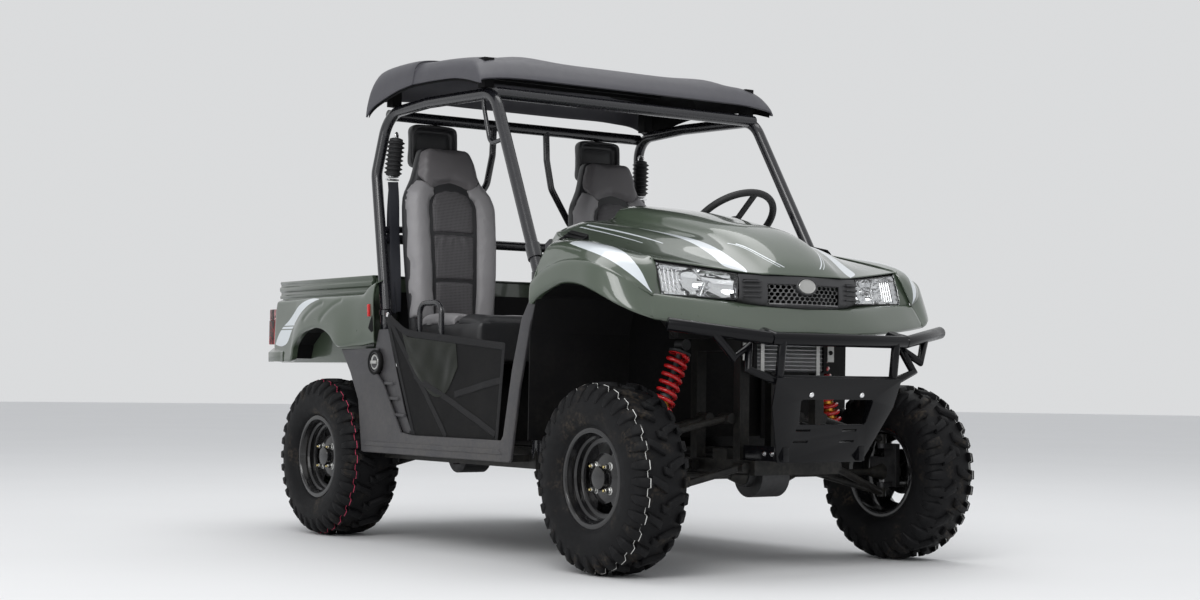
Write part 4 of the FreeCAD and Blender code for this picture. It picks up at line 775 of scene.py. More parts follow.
# lug station: share and radius at its foot, share and radius at its top, shift along the tread, half length
LONG_LUG = [(0.03, 302, 0.06, 317.4, -20, 17), (0.24, 301, 0.25, 317.4, -8, 15),
            (0.42, 300, 0.43, 317.2, 3, 13), (0.6, 297, 0.61, 315.5, 12, 14)]
EDGE_LUG = [(0.62, 296, 0.6, 315.5, -4, 17), (0.78, 291, 0.81, 306, -1, 18), (0.9, 277, 0.96, 285, 1, 16),
            (0.97, 254, 0.996, 258, 2, 9)]
MID_LUG = [(-0.16, 302, -0.13, 317.3, -6, 13), (0.16, 302, 0.13, 317.3, 6, 13)]


# radius to the top of the lugs, and where a tyre's painted line runs, as a share of its half width
LUG_RADIUS = 317.0
LINE_SHARE = 0.68
# radius of the ring that the wheel's nuts stand on, and the pierced band of its disc
NUT_RING = 55
WINDOW_BAND = (83, 117)


def lug_seed(stations, half, side):
    """One tread lug at angle 0 round the wheel's axis, Z outboard."""
    draft = Draft()
    rings = []
    for foot_w, foot_r, top_w, top_r, shift, length in stations:
        ring = []
        for w, r, reach in ((foot_w, foot_r - 4, length + 3), (top_w, top_r, length - 2)):
            for end in (-1, 1):
                angle = (shift + end * reach) / LUG_RADIUS
                ring.append((r * math.cos(angle), r * math.sin(angle), w * half * side))
        rings.append([ring[0], ring[1], ring[3], ring[2]])
    draft.loft(rings)
    return seed_piece(draft)


def make_tyre(corner, body, stand, half, finish):
    """Tyre: its carcass, with rings of lugs that change hands over the middle."""
    count = bpy.context.scene.utv_wheels.lugs
    tyre = Draft()
    bead = (150.3, half - 27.3)
    wall = curve_through([(r, w * half) for w, r in CARCASS], 3)
    profile = [(bead[0], -bead[1]), *[(r, -w) for r, w in wall[::-1]], *[(r, w) for r, w in wall[1:]], bead]
    tyre.grid([[(r * c, r * s, w) for r, w in profile] for c, s in turns(96)],
              loop_rows=True, loop_cols=True)
    tyre.move(TO_ORIGIN)
    for stations, hand, phase in (
            (LONG_LUG, 1, 0), (EDGE_LUG, 1, 0.5), (EDGE_LUG, 1, 0.02), (LONG_LUG, -1, 0.5),
            (EDGE_LUG, -1, 0), (EDGE_LUG, -1, 0.52), (MID_LUG, 1, 0.27)):
        seed = lug_seed(stations, half, hand)
        tyre.add(grown("ring", Piece=seed, Count=count, Phase=math.tau / count * phase))
        drop(seed)
    for made in tyre.mesh.faces:
        for loop in made.loops:
            loop[tyre.wrap].uv = (loop.vert.co.x, loop.vert.co.z - half * LINE_SHARE / 1000)
    tyre.move(stand)
    done = tyre.object("tread_" + corner, shut=False, bevel=1.3, segments=1, smooth=42, limit=50)
    dress(done, [finish], "tyre_" + corner, body=body)


def make_wheel(corner, body, axle, side, track, width):
    """Tyre with its lugs, and the dished steel rim with its nuts and cap."""
    half = width / 2
    stand = (Matrix.Translation(at(axle, side * track, HUB_HEIGHT))
             @ Matrix.Rotation(-side * math.pi / 2, 4, "X"))
    make_tyre(corner, body, stand, half, "tyre_front" if axle > 0 else "tyre_rear")
    rim = Draft()
    edge = half - 22
    face = edge - 62
    rim.lathe([(162, edge), (166, edge - 1.5), (166, edge - 4), (152, edge - 6), (149.5, edge - 10),
               (149.5, -edge + 10), (152, -edge + 6), (166, -edge + 4), (166, -edge + 1), (162, -edge),
               (146, -edge + 4), (145, -edge + 30), (138, -edge + 44), (136, 0), (136, face - 2),
               (132, face + 10), (133, face + 24), (140, face + 30), (140.5, face + 40), (145, face + 46),
               (145.5, edge - 8), (150, edge - 1)], sides=72, ring=True)
    disc = [(136, face + 2), (128, face - 3), (120, face - 4), (117, face - 4), (82, face + 1),
            (78, face + 2), (66, face + 8), (44, face + 9), (36, face + 9)]
    plate = Draft()
    plate.grid([[(r * c, r * s, w) for r, w in disc] for c, s in turns(96)], loop_rows=True)

    def window(point):
        """Inside one of the four windows between the nuts."""
        x, y = point.x - MID_X / 1000, point.y
        return (WINDOW_BAND[0] < 1000 * math.hypot(x, y) < WINDOW_BAND[1]
                and math.cos(4 * math.atan2(y, x)) > -0.2)

    plate.cut(window)
    plate = seed_piece(plate, wall=4, shut=False)
    rim.add(plate.data, TO_ORIGIN.inverted())
    rim.lathe([(39, face - 6), (39, face + 26), (36, face + 32), (22, face + 34), (0, face + 34)], sides=32)
    rim.move(TO_ORIGIN)
    seat = (NUT_RING, 0, face + 8)
    nut, tip = Draft(), Draft()
    nut.lathe([(11, 0), (11, 9), (8.6, 11), (8.6, 22), (6.5, 25), (4, 25)], seat, sides=6)
    nut.lathe([(14, -1), (15, 4), (11, 6)], seat, sides=20)
    tip.lathe([(5, 0), (5, 29), (4, 31), (0, 31)], seat, sides=12)
    for finish, seed in enumerate((nut, tip), 1):
        seed = seed_piece(seed, shut=False)
        rim.add(grown("ring", Piece=seed, Count=4, Phase=math.pi / 4), finish=finish)
        drop(seed)
    rim.lathe([(4, 0), (4, 16), (3, 18), (0, 18)], (-MID_X, 0, 0), finish=3, sides=8)
    drop(plate)
    rim.move(stand)
    dress(rim.object("rim_dish_" + corner, smooth=36),
          ["rim_black", "zinc_steel", "brass_tip", "soft_rubber"],
          "rim_" + corner, body=body)


# Bodywork

# from the middle outwards: the hood's lines, each from its front lip to its rear edge
HOOD_ROWS = [
    [(1191, 0, 1003), (1150, 0, 1052), (1050, 0, 1128), (942, 0, 1181), (804, 0, 1213), (600, 0, 1257),
     (365, 0, 1292)],
    [(1188, 80, 1003), (1147, 82, 1051), (1047, 86, 1127), (940, 92, 1179), (804, 98, 1211),
     (600, 108, 1254), (365, 115, 1289)],
    [(1180, 150, 1004), (1138, 152, 1044), (1040, 156, 1115), (935, 162, 1164), (804, 170, 1195),
     (600, 182, 1237), (366, 190, 1271)],
    [(1172, 184, 1004), (1130, 188, 1034), (1032, 197, 1092), (930, 205, 1133), (800, 214, 1160),
     (600, 226, 1196), (371, 236, 1232)],
    [(1146, 258, 1010), (1108, 268, 1030), (1020, 286, 1080), (925, 302, 1118), (795, 320, 1150),
     (600, 336, 1185), (380, 346, 1219)],
    [(1105, 400, 1027), (1072, 402, 1036), (992, 405, 1062), (905, 409, 1092), (780, 414, 1123),
     (600, 420, 1160), (392, 424, 1198)],
    [(1052, 546, 1044), (1022, 547, 1052), (950, 548, 1067), (870, 548, 1083), (745, 545, 1106),
     (590, 534, 1138), (428, 512, 1168)],
]
# round the arch, from the cab forward: the fender's lines, each from its lip to the hood's edge
FENDER_ROWS = [
    [(600, 740, 899), (596, 733, 966), (600, 714, 990), (602, 694, 1054), (604, 652, 1108),
     (603, 556, 1134)],
    [(650, 740, 928), (643, 733, 995), (648, 715, 1010), (652, 694, 1064), (654, 650, 1110),
     (652, 556, 1126)],
    [(705, 740, 947), (699, 733, 1015), (703, 716, 1026), (706, 693, 1070), (706, 646, 1108),
     (704, 555, 1116)],
    [(782, 740, 966), (778, 733, 1031), (781, 717, 1038), (783, 692, 1068), (784, 642, 1100),
     (782, 553, 1101)],
    [(876, 740, 961), (872, 732, 1030), (875, 718, 1034), (877, 690, 1056), (876, 640, 1086),
     (874, 551, 1083)],
    [(960, 739, 938), (955, 729, 1014), (958, 714, 1019), (960, 684, 1037), (962, 634, 1064),
     (956, 550, 1066)],
    [(1046, 711, 896), (1018, 702, 986), (1021, 688, 991), (1026, 664, 1006), (1022, 622, 1040),
     (992, 551, 1057)],
    [(1104, 662, 862), (1066, 650, 948), (1070, 640, 954), (1075, 624, 966), (1060, 592, 1016),
     (1025, 551, 1050)],
    [(1129, 610, 843), (1090, 592, 916), (1094, 586, 922), (1095, 580, 930), (1078, 560, 990),
     (1050, 551, 1043)],
]
NOSE_ROWS = [
    [(1129, 610, 843), (1090, 592, 916), (1086, 560, 921), (1060, 540, 922)],
    [(1170, 500, 830), (1125, 485, 902), (1112, 460, 913), (1070, 440, 918)],
    [(1215, 320, 812), (1163, 308, 887), (1140, 292, 902), (1085, 280, 916)],
    [(1222, 150, 806), (1181, 150, 880), (1168, 150, 888), (1100, 150, 892)],
    [(1218, 0, 808), (1184, 0, 878), (1172, 0, 886), (1100, 0, 890)],
]


def both_ways(rows):
    """Rows from the middle outwards, made to run from the far side through the middle."""
    return [[(x, -y, z) for x, y, z in row] for row in rows[:0:-1]] + rows


def make_hood():
    """Hood with its raised middle, running from the lamps to the windscreen edge, and its hinges."""
    draft = Draft()
    draft.grid(surface(both_ways(HOOD_ROWS), 6, 6, relax=3), share=True, flip=True)
    lid = draft.object("hood_panel", wall=4.5, bevel=1.2, shut=False, smooth=50)
    for place in lid.data.uv_layers["wrap"].data:
        place.uv = (place.uv[1], abs(2 * place.uv[0] - 1))
    dress(lid, ["green_hood"], "hood", body="hood")
    hinges = Draft()
    for y in (-217, 217):
        hinges.tube([(384, y - 14, 1212), (384, y + 14, 1212)], 9, sides=16)
        hinges.block((379, y - 14, 1212), (392, y + 14, 1236))
    dress(hinges.object("hood_hinges", bevel=1.0), ["chassis_black"], body="hood")


def make_cowl():
    """Front fenders with their arch lips, the corners beside the cab and the band under the lamps."""
    fenders = Draft()
    rows = [[(row[0][0], row[0][1] - 26, row[0][2] + 5)] + row for row in FENDER_ROWS]
    fenders.grid(surface(rows, 6, 5, sharp_cols=(1, 3), relax=1), share=True, flip=True)
    fenders.mirror()
    dress(fenders.object("front_fenders", wall=4.5, bevel=1.5, shut=False, smooth=50),
          ["green_fender"], "front_cowl")
    nose = Draft()
    rows = [[(row[0][0] - 24, row[0][1] * 0.96, row[0][2] + 4)] + row for row in NOSE_ROWS]
    rows = rows + [[(x, -y, z) for x, y, z in row] for row in rows[-2::-1]]
    nose.grid(surface(rows, 8, 5, sharp_cols=(1,), relax=1), flip=True)
    dress(nose.object("nose_band", wall=4.5, bevel=1.5, shut=False, smooth=50), ["green_plain"])
    corner = Draft()
    corner.grid(surface([
        [(600, 731, 967), (602, 694, 1056), (604, 650, 1109), (602, 556, 1135)],
        [(566, 672, 972), (564, 646, 1052), (562, 618, 1106), (558, 546, 1143)],
        [(530, 628, 978), (524, 616, 1050), (518, 590, 1106), (508, 535, 1153)],
        [(478, 606, 985), (466, 590, 1054), (454, 560, 1112), (434, 514, 1166)],
    ], 5, 5, relax=1))
    corner.mirror()
    dress(corner.object("cowl_corners", wall=4, bevel=1.2, shut=False, smooth=50), ["green_plain"])
    vents = Draft()
    opening = [(574, 551, 1160), (684, 554, 1139), (668, 606, 1098), (562, 610, 1115)]
    vents.loft([[(x, y, z - 22) for x, y, z in opening], [(x, y + 1, z + 3) for x, y, z in opening]])
    rear, front, low_front, low_rear = (np.array(point) for point in opening)
    for share in (0.24, 0.50, 0.76):
        ends = low_rear + (rear - low_rear) * share, low_front + (front - low_front) * share
        vents.tube([tuple(ends[0] + (6, 1, 5)), tuple(ends[1] + (-6, 1, 5))], 3.6, sides=8)
    vents.tube(bent([*opening, opening[0]], 8), 4, sides=8)
    vents.mirror()
    dress(vents.object("cowl_vents", bevel=0.8), ["shaded_liner_plastic"])


# station, then the roof's half line: distances of its skirt and shoulder, and heights up to the middle
ROOF_LINES = [
    (192, (698, 697, 680, 600), (1714, 1722, 1732, 1742, 1746, 1747, 1747)),
    (178, (700, 699, 684, 600), (1717, 1736, 1752, 1766, 1770, 1772, 1772)),
    (140, (700, 697, 676, 600), (1727, 1762, 1792, 1812, 1817, 1818, 1816)),
    (90, (700, 695, 668, 600), (1739, 1782, 1814, 1830, 1834, 1846, 1838)),
    (0, (700, 693, 664, 600), (1753, 1800, 1828, 1842, 1846, 1860, 1851)),
    (-140, (700, 692, 662, 600), (1760, 1808, 1838, 1852, 1856, 1871, 1860)),
    (-282, (700, 691, 662, 600), (1763, 1812, 1844, 1858, 1862, 1878, 1867)),
    (-294, (700, 697, 672, 604), (1763, 1822, 1854, 1866, 1868, 1880, 1868)),
    (-420, (700, 697, 670, 604), (1750, 1820, 1857, 1870, 1872, 1882, 1876)),
    (-560, (700, 697, 668, 604), (1720, 1806, 1850, 1870, 1874, 1882, 1880)),
    (-618, (700, 696, 664, 604), (1700, 1786, 1832, 1856, 1860, 1868, 1864)),
    (-648, (700, 696, 660, 604), (1680, 1740, 1776, 1800, 1806, 1812, 1810)),
    (-655, (700, 698, 664, 604), (1674, 1700, 1724, 1744, 1750, 1754, 1752)),
]


# distances of the roof's inner lines, which all stations share
ROOF_MIDDLE = (520, 430, 250, 0)


def make_roof():
    """Moulded roof with its ridges and side skirts, its ribbed lining and its feet on the cage."""
    draft, lining = Draft(), Draft()
    rows = []
    for x, shoulder, heights in ROOF_LINES:
        half = [(x, y, z) for y, z in zip(shoulder + ROOF_MIDDLE, heights + heights[-1:])]
        rows.append(half + [(x, -y, z) for x, y, z in half[-2::-1]])
    draft.grid(surface(rows, 5, 4, sharp_cols=(1, 13), relax=1), flip=True)
    dress(draft.object("roof_skin", wall=7, bevel=2.2, shut=False, smooth=48), ["roof_plastic"], "roof")
    inner = [[(x, y * 0.985, z - 9) for x, y, z in row] for row in rows[1:-1]]
    lining.grid(surface(inner, 3, 3, sharp_cols=(1, 13)))
    for x in (-500, -380, -180, -80, 40):
        z = float(np.interp(-x, [-178, 0, 282, 560], [1758, 1838, 1856, 1868]))
        lining.block((x - 4, -560, z - 26), (x + 4, 560, z - 8))
    for x in (112, -567):
        for side in (-1, 1):
            lining.block((x - 22, side * 622 - 21, 1712), (x + 22, side * 622 + 21, 1822))
    dress(lining.object("roof_lining", wall=1.5, shut=False), ["shaded_liner_plastic"])


SIDE_OUTLINE = [(-800, 752), (-723, 660), (-654, 550), (-622, 352), (-610, 348), (440, 348), (452, 356),
                (502, 609), (567, 833), (598, 896), (590, 958), (509, 847), (454, 673), (402, 440),
                (388, 424), (-232, 424), (-318, 433), (-456, 611), (-545, 688), (-500, 754)]


def plate(outlines, depth, bevel, resolution=2):
    """A flat plate in the XZ plane from outlines in mm, the first its edge and the others its holes."""
    line = bpy.data.curves.new("plate", "CURVE")
    line.dimensions = "2D"
    line.fill_mode = "BOTH"
    for outline in outlines:
        spline = line.splines.new("POLY")
        spline.points.add(len(outline) - 1)
        for point, (x, z) in zip(spline.points, outline):
            point.co = ((x + MID_X) / 1000, z / 1000, 0, 1)
        spline.use_cyclic_u = True
    line.extrude = depth / 2000 - bevel / 1000
    line.bevel_depth, line.bevel_resolution = bevel / 1000, resolution
    line.offset = -bevel / 1000
    holder = placed("plate", line)
    mesh = baked(holder)
    drop(holder)
    mesh.transform(Matrix.Rotation(math.radians(90), 4, "X"))
    return mesh


def circle(x, z, radius, count=28):
    return [(x + radius * c, z + radius * s) for c, s in turns(count)]


def make_side_panels():
    """Side panels: pillar panel, sill and flare strip in one moulding, with recess, steps and filler."""
    draft = Draft()
    filler = (-525, 712, 700)
    for outlines, y, *sizes in (
            ([SIDE_OUTLINE, circle(filler[0], filler[2], 40)], 0.709, 14, 5, 3),
            ([[(-545, 760), (-521, 828), (-451, 828), (-383, 664), (-308, 500), (-254, 428), (-318, 430),
               (-470, 600), (-556, 690)]], 0.6965, 7, 2),
            ([[(-600, 374), (-560, 392), (380, 392), (400, 374)]], 0.717, 5, 2)):
        draft.add(plate(outlines, *sizes), Matrix.Translation((0, y, 0)))
    for x0, x1, z in ((-462, -392, 624), (-428, -348, 566), (-392, -302, 503)):
        draft.prism([(x0, 697, z + 3), (x1, 697, z + 3), (x1 - 4, 709, z), (x0 + 4, 709, z)], (0, 0, -11))
    draft.lathe([(36, -24), (37, -24), (38, 2), (41, 8), (47, 8), (50, 3), (50, -4), (36, -28),
                 (0, -28), (0, -24)],
                filler, (0, 1, 0), 1, 36)
    draft.lathe([(0, -24), (32, -24), (32, 1), (29.5, 4), (24, 5), (22, 3), (0, 3)], filler,
                (0, 1, 0), 2, 32)
    draft.block((-547, 713, 694), (-503, 722, 706), 2)
    draft.mirror()
    made = draft.object("side_mouldings", smooth=40, bevel=0.8)
    dress(made, ["panel_plastic", "shaded_liner_plastic", "zinc_steel"], "side_panels")


# station, then the distances and heights of the rear fender's line, from under the rail to its lip
REAR_LINES = [
    (-548, (668, 700, 707, 710, 707, 704), (1022, 1008, 975, 930, 860, 778)),
    (-600, (666, 702, 708, 711, 710, 707), (1000, 990, 965, 925, 850, 772)),
    (-640, (664, 702, 709, 713, 713, 710), (974, 966, 950, 915, 840, 768)),
    (-700, (654, 703, 711, 716, 719, 718), (971, 962, 944, 905, 835, 766)),
    (-789, (654, 706, 716, 724, 733, 737), (971, 961, 945, 910, 850, 764)),
    (-857, (654, 708, 719, 728, 736, 738), (971, 961, 948, 920, 870, 809)),
    (-917, (654, 709, 720, 728, 736, 738), (971, 961, 952, 930, 890, 834)),
    (-976, (654, 710, 721, 728, 736, 738), (971, 962, 955, 938, 898, 842)),
    (-1037, (654, 709, 720, 727, 736, 738), (971, 961, 951, 934, 894, 836)),
    (-1113, (654, 708, 718, 725, 735, 738), (971, 960, 942, 910, 872, 816)),
    (-1182, (654, 706, 715, 721, 731, 736), (971, 958, 930, 880, 820, 767)),
    (-1206, (654, 705, 713, 719, 728, 735), (971, 957, 925, 865, 790, 709)),
    (-1300, (654, 702, 709, 714, 720, 724), (971, 955, 915, 860, 790, 704)),
    (-1400, (654, 699, 705, 708, 710, 708), (971, 955, 910, 850, 790, 708)),
]


def make_wings():
    """Rear fenders with two ridges pressed into each, and the shelf behind the wheel."""
    wings = Draft()
    rows = [[(x, y, z) for y, z in zip(far + (far[-1] - 24,), high + (high[-1] + 5,))] for x, far,
            high in REAR_LINES]
    skin = surface(rows, 9, 8, sharp_cols=(1, 5), relax=1)
    for line in (((-1085, 878), (-1040, 905), (-990, 926), (-946, 937)),
                 ((-939, 873), (-900, 902), (-850, 930), (-805, 945))):
        away = np.linalg.norm(skin[:, :, None, [0, 2]] - curve_through(line, 10)[None, None], axis=3).min(2)
        skin[:, :, 1] -= 4.5 * np.exp(-(away / 9.0) ** 2)
    wings.grid(skin, flip=True)
    wings.loft([[(x, 700, 703), (x, y, 703), (x, y + 1, 742), (x, y - 22, 760), (x, 700, 760)]
                for x, y in ((-1436, 722), (-1420, 731), (-1310, 735), (-1284, 732))])
    wings.mirror()
    made = wings.object("rear_wings", wall=4.5, bevel=1.2, shut=False, smooth=48)
    for loop, place in zip(made.data.loops, made.data.uv_layers["wrap"].data):
        point = made.data.vertices[loop.vertex_index].co
        place.uv = ((point.x * 1000 - MID_X + 1500) / 600, (point.z * 1000 - 700) / 300)
    dress(made, ["green_rear"], "rear_fenders", body="bed")


def make_rear_box():
    """Tipping box: double-ridged rails, floor ribs, walls, latches, tailgate and lamps."""
    latch, box, gate, lamps = (Draft() for _ in range(4))
    corners = [(-686, 940), (-552, 941), (-548, 822), (-562, 816), (-684, 892)]
    latch.add(plate([corners], 7, 3), Matrix.Translation((0, 0.7095, 0)))
    latch.loft([[(-583, y, 926), (-571, y, 928), (-569, y, 880), (-579, y, 878)] for y in (711, 722)], 1)
    latch.mirror()
    dress(latch.object("bed_latches", bevel=1.5), ["shaded_liner_plastic", "release_red"], body="bed")
    rail = [(652, 973), (654, 984), (648, 990), (648, 1000), (655, 1006), (656, 1020), (649, 1026),
            (649, 1034), (653, 1040), (651, 1047), (644, 1048), (606, 1048), (602, 1044), (602, 1036),
            (634, 1036), (634, 973)]
    front, rear = -668, -1478
    box.loft([[(x, y, z) for y, z in rail] for x in (front, rear)])
    box.block((rear, 635, 700), (front, 640, 1036))
    box.mirror()
    box.block((front - 5, -636, 700), (front, 636, 1044))
    box.block((front - 40, -636, 1036), (front, 636, 1048))
    box.block((rear, -638, 700), (front, 638, 706))
    for y in range(-560, 561, 112):
        box.block((-1444, y - 26, 704), (-712, y + 26, 709))
    for y in (-110, 110):
        box.block((-1340, y - 20, 678), (-700, y + 20, 700), 1)
    for y in (-170, 170):
        box.tube([(-1345, y - 11, 642), (-1345, y + 11, 642)], 15, 1)
        box.block((-1355, y - 11, 642), (-1335, y + 11, 702), 1)
    dress(box.object("box_shell", bevel=1.6, smooth=40), ["green_plain", "chassis_black"],
          "cargo_box", body="bed")
    gate.block((rear, -594, 718), (-1456, 594, 1038))
    gate.block((-1482, -560, 1006), (-1474, 560, 1030))
    gate.block((-1482, -520, 780), (-1474, -60, 940))
    gate.block((-1482, 60, 780), (-1474, 520, 940))
    for side in (-1, 1):
        gate.tube([(-1467, side * 590, 726), (-1467, side * 639, 726)], 7, 1)
        gate.block((-1483, side * 540 - 30, 985), (-1474, side * 540 + 30, 1002), 1)
    dress(gate.object("gate_panel", bevel=3, segments=3), ["green_plain", "chassis_black"],
          "tailgate", body="gate")
    lamps.block((rear, 641, 776), (-1404, 703, 880))
    lamps.block((rear, 641, 880), (-1404, 701, 927), 1)
    lamps.mirror()
    dress(lamps.object("tail_lenses", bevel=4, segments=3), ["tail_red", "tail_pale"],
          "tail_lamps", body="bed")


# Front: grille, lamps and bumper

# The hexagons of the grille: middle to corner before they are drawn wide, and the height of the middle row
HEX_RADIUS = 11.5
HEX_HEIGHT = 937


def make_grille():
    """Grille insert with its mouth, its hexagon mesh, an oval badge seat and the slats beside it."""
    draft = Draft()
    rows = [[(x, y, z) for x, z in line] for y, line in (
        (0, [(1170, 890), (1186, 905), (1190, 940), (1186, 975), (1182, 998)]),
        (175, [(1150, 898), (1166, 908), (1168, 940), (1164, 975), (1158, 998)]),
        (262, [(1126, 914), (1140, 922), (1144, 945), (1140, 980), (1134, 1000)]))]
    draft.grid(surface(both_ways(rows), 10, 6, relax=1))
    draft.cut(lambda point: abs(point.y) < 0.156 and 0.904 < point.z < 0.968)
    dress(draft.object("grille_panel", wall=8, bevel=2, shut=False), ["grille_plastic"], "grille")
    mesh, ring = Draft(), Draft()
    wide, tall = 1.15 * HEX_RADIUS, 0.74 * HEX_RADIUS
    ring.grid([[(0, wide * s, tall * c), (0, 0.92 * wide * s, 0.88 * tall * c)] for c, s in turns(6)],
              loop_rows=True)
    spots = []
    for row in range(-3, 4):
        for col in range(-8, 9):
            y = (col + 0.5 * (row % 2)) * wide * math.sqrt(3)
            if abs(y) < 160:
                spots.append(((1178 - 0.0007 * y * y, y, HEX_HEIGHT + row * tall * 1.5), (0, 0, 1)))
    on_spots(mesh, seed_piece(ring, wall=5, shut=False), spots)
    mesh.tube(bent([(1176, -154, 904), (1186, 0, 904), (1176, 154, 904)], 60), 2.5, sides=8)
    dress(mesh.object("grille_mesh"), ["mesh_grey"])
    badge = Draft()
    middle, look = (1187, 0, 966), (1, 0, 0.06)
    badge.lathe([(47, -16), (47, 4), (44, 8), (40, 8), (38, 5), (0, 5)], middle, look)
    badge.lathe([(38, 4), (37, 8), (34, 9), (32, 7), (0, 8.5)], middle, look, 1)
    bmesh.ops.scale(badge.mesh, vec=(1, 1, 0.66), verts=badge.mesh.verts,
                    space=Matrix.Translation((0, 0, -middle[2] / 1000)))
    for side in (-1, 1):
        badge.prism([(1150, side * 196, 916), (1167, side * 196, 916), (1153, side * 250, 916),
                     (1136, side * 250, 916)], (0, 0, 68), 2)
        for z in range(920, 972, 17):
            badge.prism([(1150, side * 192, z), (1182, side * 192, z + 4), (1168, side * 254, z + 4),
                         (1134, side * 254, z)], (2, 0, 6))
    dress(badge.object("badge_seat", bevel=1), ["grille_plastic", "zinc_steel", "shaded_liner_plastic"])


# The bowls of a lamp as (share outwards, share upwards, reach, depth, bulb radius), and where facets begin
BOWLS = ((0.27, 0.50, 0.30, 40, 15), (0.63, 0.52, 0.22, 26, 11))
FACETS_FROM = 0.66


def make_lamps():
    """Headlamps: bright bowls and facets in a dark case behind a clear lens."""
    case, bright, glass = Draft(), Draft(), Draft()
    front = [Vector(p) for p in ((1140, 266, 915), (1140, 266, 1000), (1048, 540, 1030), (1082, 540, 925))]
    back = [p + Vector((-66, 0, 0)) for p in front]
    for a, b in zip(range(4), (1, 2, 3, 0)):
        bright.grid([[tuple(front[a]), tuple(front[b])], [tuple(back[a]), tuple(back[b])]])

    def on_face(u, v, depth):
        """A point at share u outwards and v upwards of the lamp's face, depth behind it."""
        low, high = front[0].lerp(front[3], u), front[1].lerp(front[2], u)
        return tuple(low.lerp(high, v) + Vector((-depth, 0, 0)))

    def depth_at(i, j):
        """How deep the reflector lies at a point of its grid."""
        u, v = i / 24, j / 12
        if u > FACETS_FROM:
            return 26 + 7 * ((i + j) % 2)
        depth = 50
        for cu, cv, reach, deep, _ in BOWLS:
            away = math.hypot(u - cu, (v - cv) * 0.42) / reach
            if away < 1:
                depth = min(depth, 14) + deep * (1 - away * away)
        return min(depth, 62)

    bright.grid([[on_face(i / 24, j / 12, depth_at(i, j)) for j in range(13)] for i in range(25)], flip=True)
    for u, v, _, _, size in BOWLS:
        x, y, z = on_face(u, v, 44)
        bright.lathe([(size, 0), (size, 5), (size * 0.8, 8), (size * 0.75, 20), (size * 0.5, 26), (0, 28)],
                     (x - 8, y, z), (0.95, 0.25, 0), sides=24)
    for k in range(5):
        u = 0.72 + 0.05 * k
        bright.tube([on_face(u, 0.10, 20), on_face(u, 0.92, 20)], 2.4, sides=6)
    bright.tube([on_face(0.47, 0.02, 12), on_face(0.40, 0.5, 8), on_face(0.52, 0.98, 12)], 4, sides=8)
    bright.mirror()
    dress(bright.object("lamp_bowls", shut=False, smooth=28), ["chrome"], "headlamps")
    glass.grid([[on_face(i / 10, j / 6, -1.0 - 3.5 * math.sin(math.pi * j / 6)) for j in range(7)]
                for i in range(11)])
    glass.mirror()
    dress(glass.object("lamp_covers", wall=2.5, shut=False, smooth=60), ["lamp_glass"], "headlamp_lenses")
    case.tube(bent([on_face(u, v, 0) for u, v in ((0, 0), (0, 1), (1, 1), (1, 0), (0, 0))], 8), 3.2, sides=8)
    case.grid([[on_face(u, v, 64) for v in (-0.12, 1.1)] for u in (-0.03, 0.5, 1.08)])
    case.grid([[(1083, 540, 918), (1064, 540, 975), (1046, 540, 1034)],
               [(1091, 588, 914), (1076, 578, 975), (1044, 562, 1048)]], 1)
    case.mirror()
    dress(case.object("lamp_rims", smooth=60), ["grille_plastic", "green_plain"])


def make_bumper():
    """Front bumper: bent tubes, and a leaning plate with its window, slots and dome bolts."""
    draft = Draft()
    draft.tube(bent([(1212, -614, 823), (1362, -300, 781), (1362, 300, 781), (1212, 614, 823)], 60), 22,
               sides=20)
    for side in (-1, 1):
        draft.tube(bent([(1362, side * 255, 781), (1346, side * 255, 650)], 20), 15)
        draft.tube(bent([(1278, side * 474, 799), (1322, side * 402, 690), (1342, side * 262, 644)], 90, 10),
                   15)
        draft.block((1080, side * 170 - 12, 376), (1286, side * 170 + 12, 425))
        draft.prism([(1262, side * 186, 376), (1330, side * 186, 580), (1326, side * 186, 640),
                     (1300, side * 186, 640), (1240, side * 186, 376)], (0, side * 5, 0))
    draft.tube(bent([(1318, -276, 650), (1350, -256, 651), (1350, 256, 651), (1318, 276, 650)], 26), 13,
               sides=16)
    (foot_x, low), (head_x, high) = (1262, 372), (1364, 655)
    lean = math.atan2(head_x - foot_x, high - low)
    scale = 1 / math.cos(lean)

    def leaning(points):
        """Points of the plate from (distance, height) pairs."""
        return [(y, (z - low) * scale) for y, z in points]

    holes = [leaning([(-138, 508), (-130, 500), (156, 500), (164, 508), (172, 578), (166, 584), (-146, 584),
                      (-152, 578)])]
    for y in (-112, 96):
        for z in (478, 440):
            z = (z - low) * scale
            holes.append([(y - 32, z), (y + 32, z), (y + 32, z + 7), (y - 32, z + 7)])
    edge = leaning([(-279, high), (-272, 560), (-190, low), (190, low), (272, 560), (279, high)])
    turn = Matrix.Translation(at(foot_x, 0, low)) @ Matrix.Rotation(lean, 4, "Y") @ Matrix.Rotation(
        math.radians(90), 4, "Z") @ TO_ORIGIN
    draft.add(plate([edge, *holes], 6, 1.2, 1), turn)
    look = (math.cos(lean), 0, -math.sin(lean))
    on_spots(draft, dome_seed(10, 9), [((1343, y, 600), look) for y in (-113, 113)], 1)
    on_spots(draft, bolt_seed(6, 5),
             [((x, side * 183, 400), (0, side, 0)) for x in (1190, 1230) for side in (-1, 1)], 1)
    dress(draft.object("bumper_frame", bevel=0.8, smooth=40), ["bumper_black", "chrome"], "front_bumper")


# the dampers: top and foot of the left ones, front then rear
DAMPERS = (((890, 300, 764.7), (876, 452, 352)), ((-878, 330, 617.7), (-864, 425, 352)))


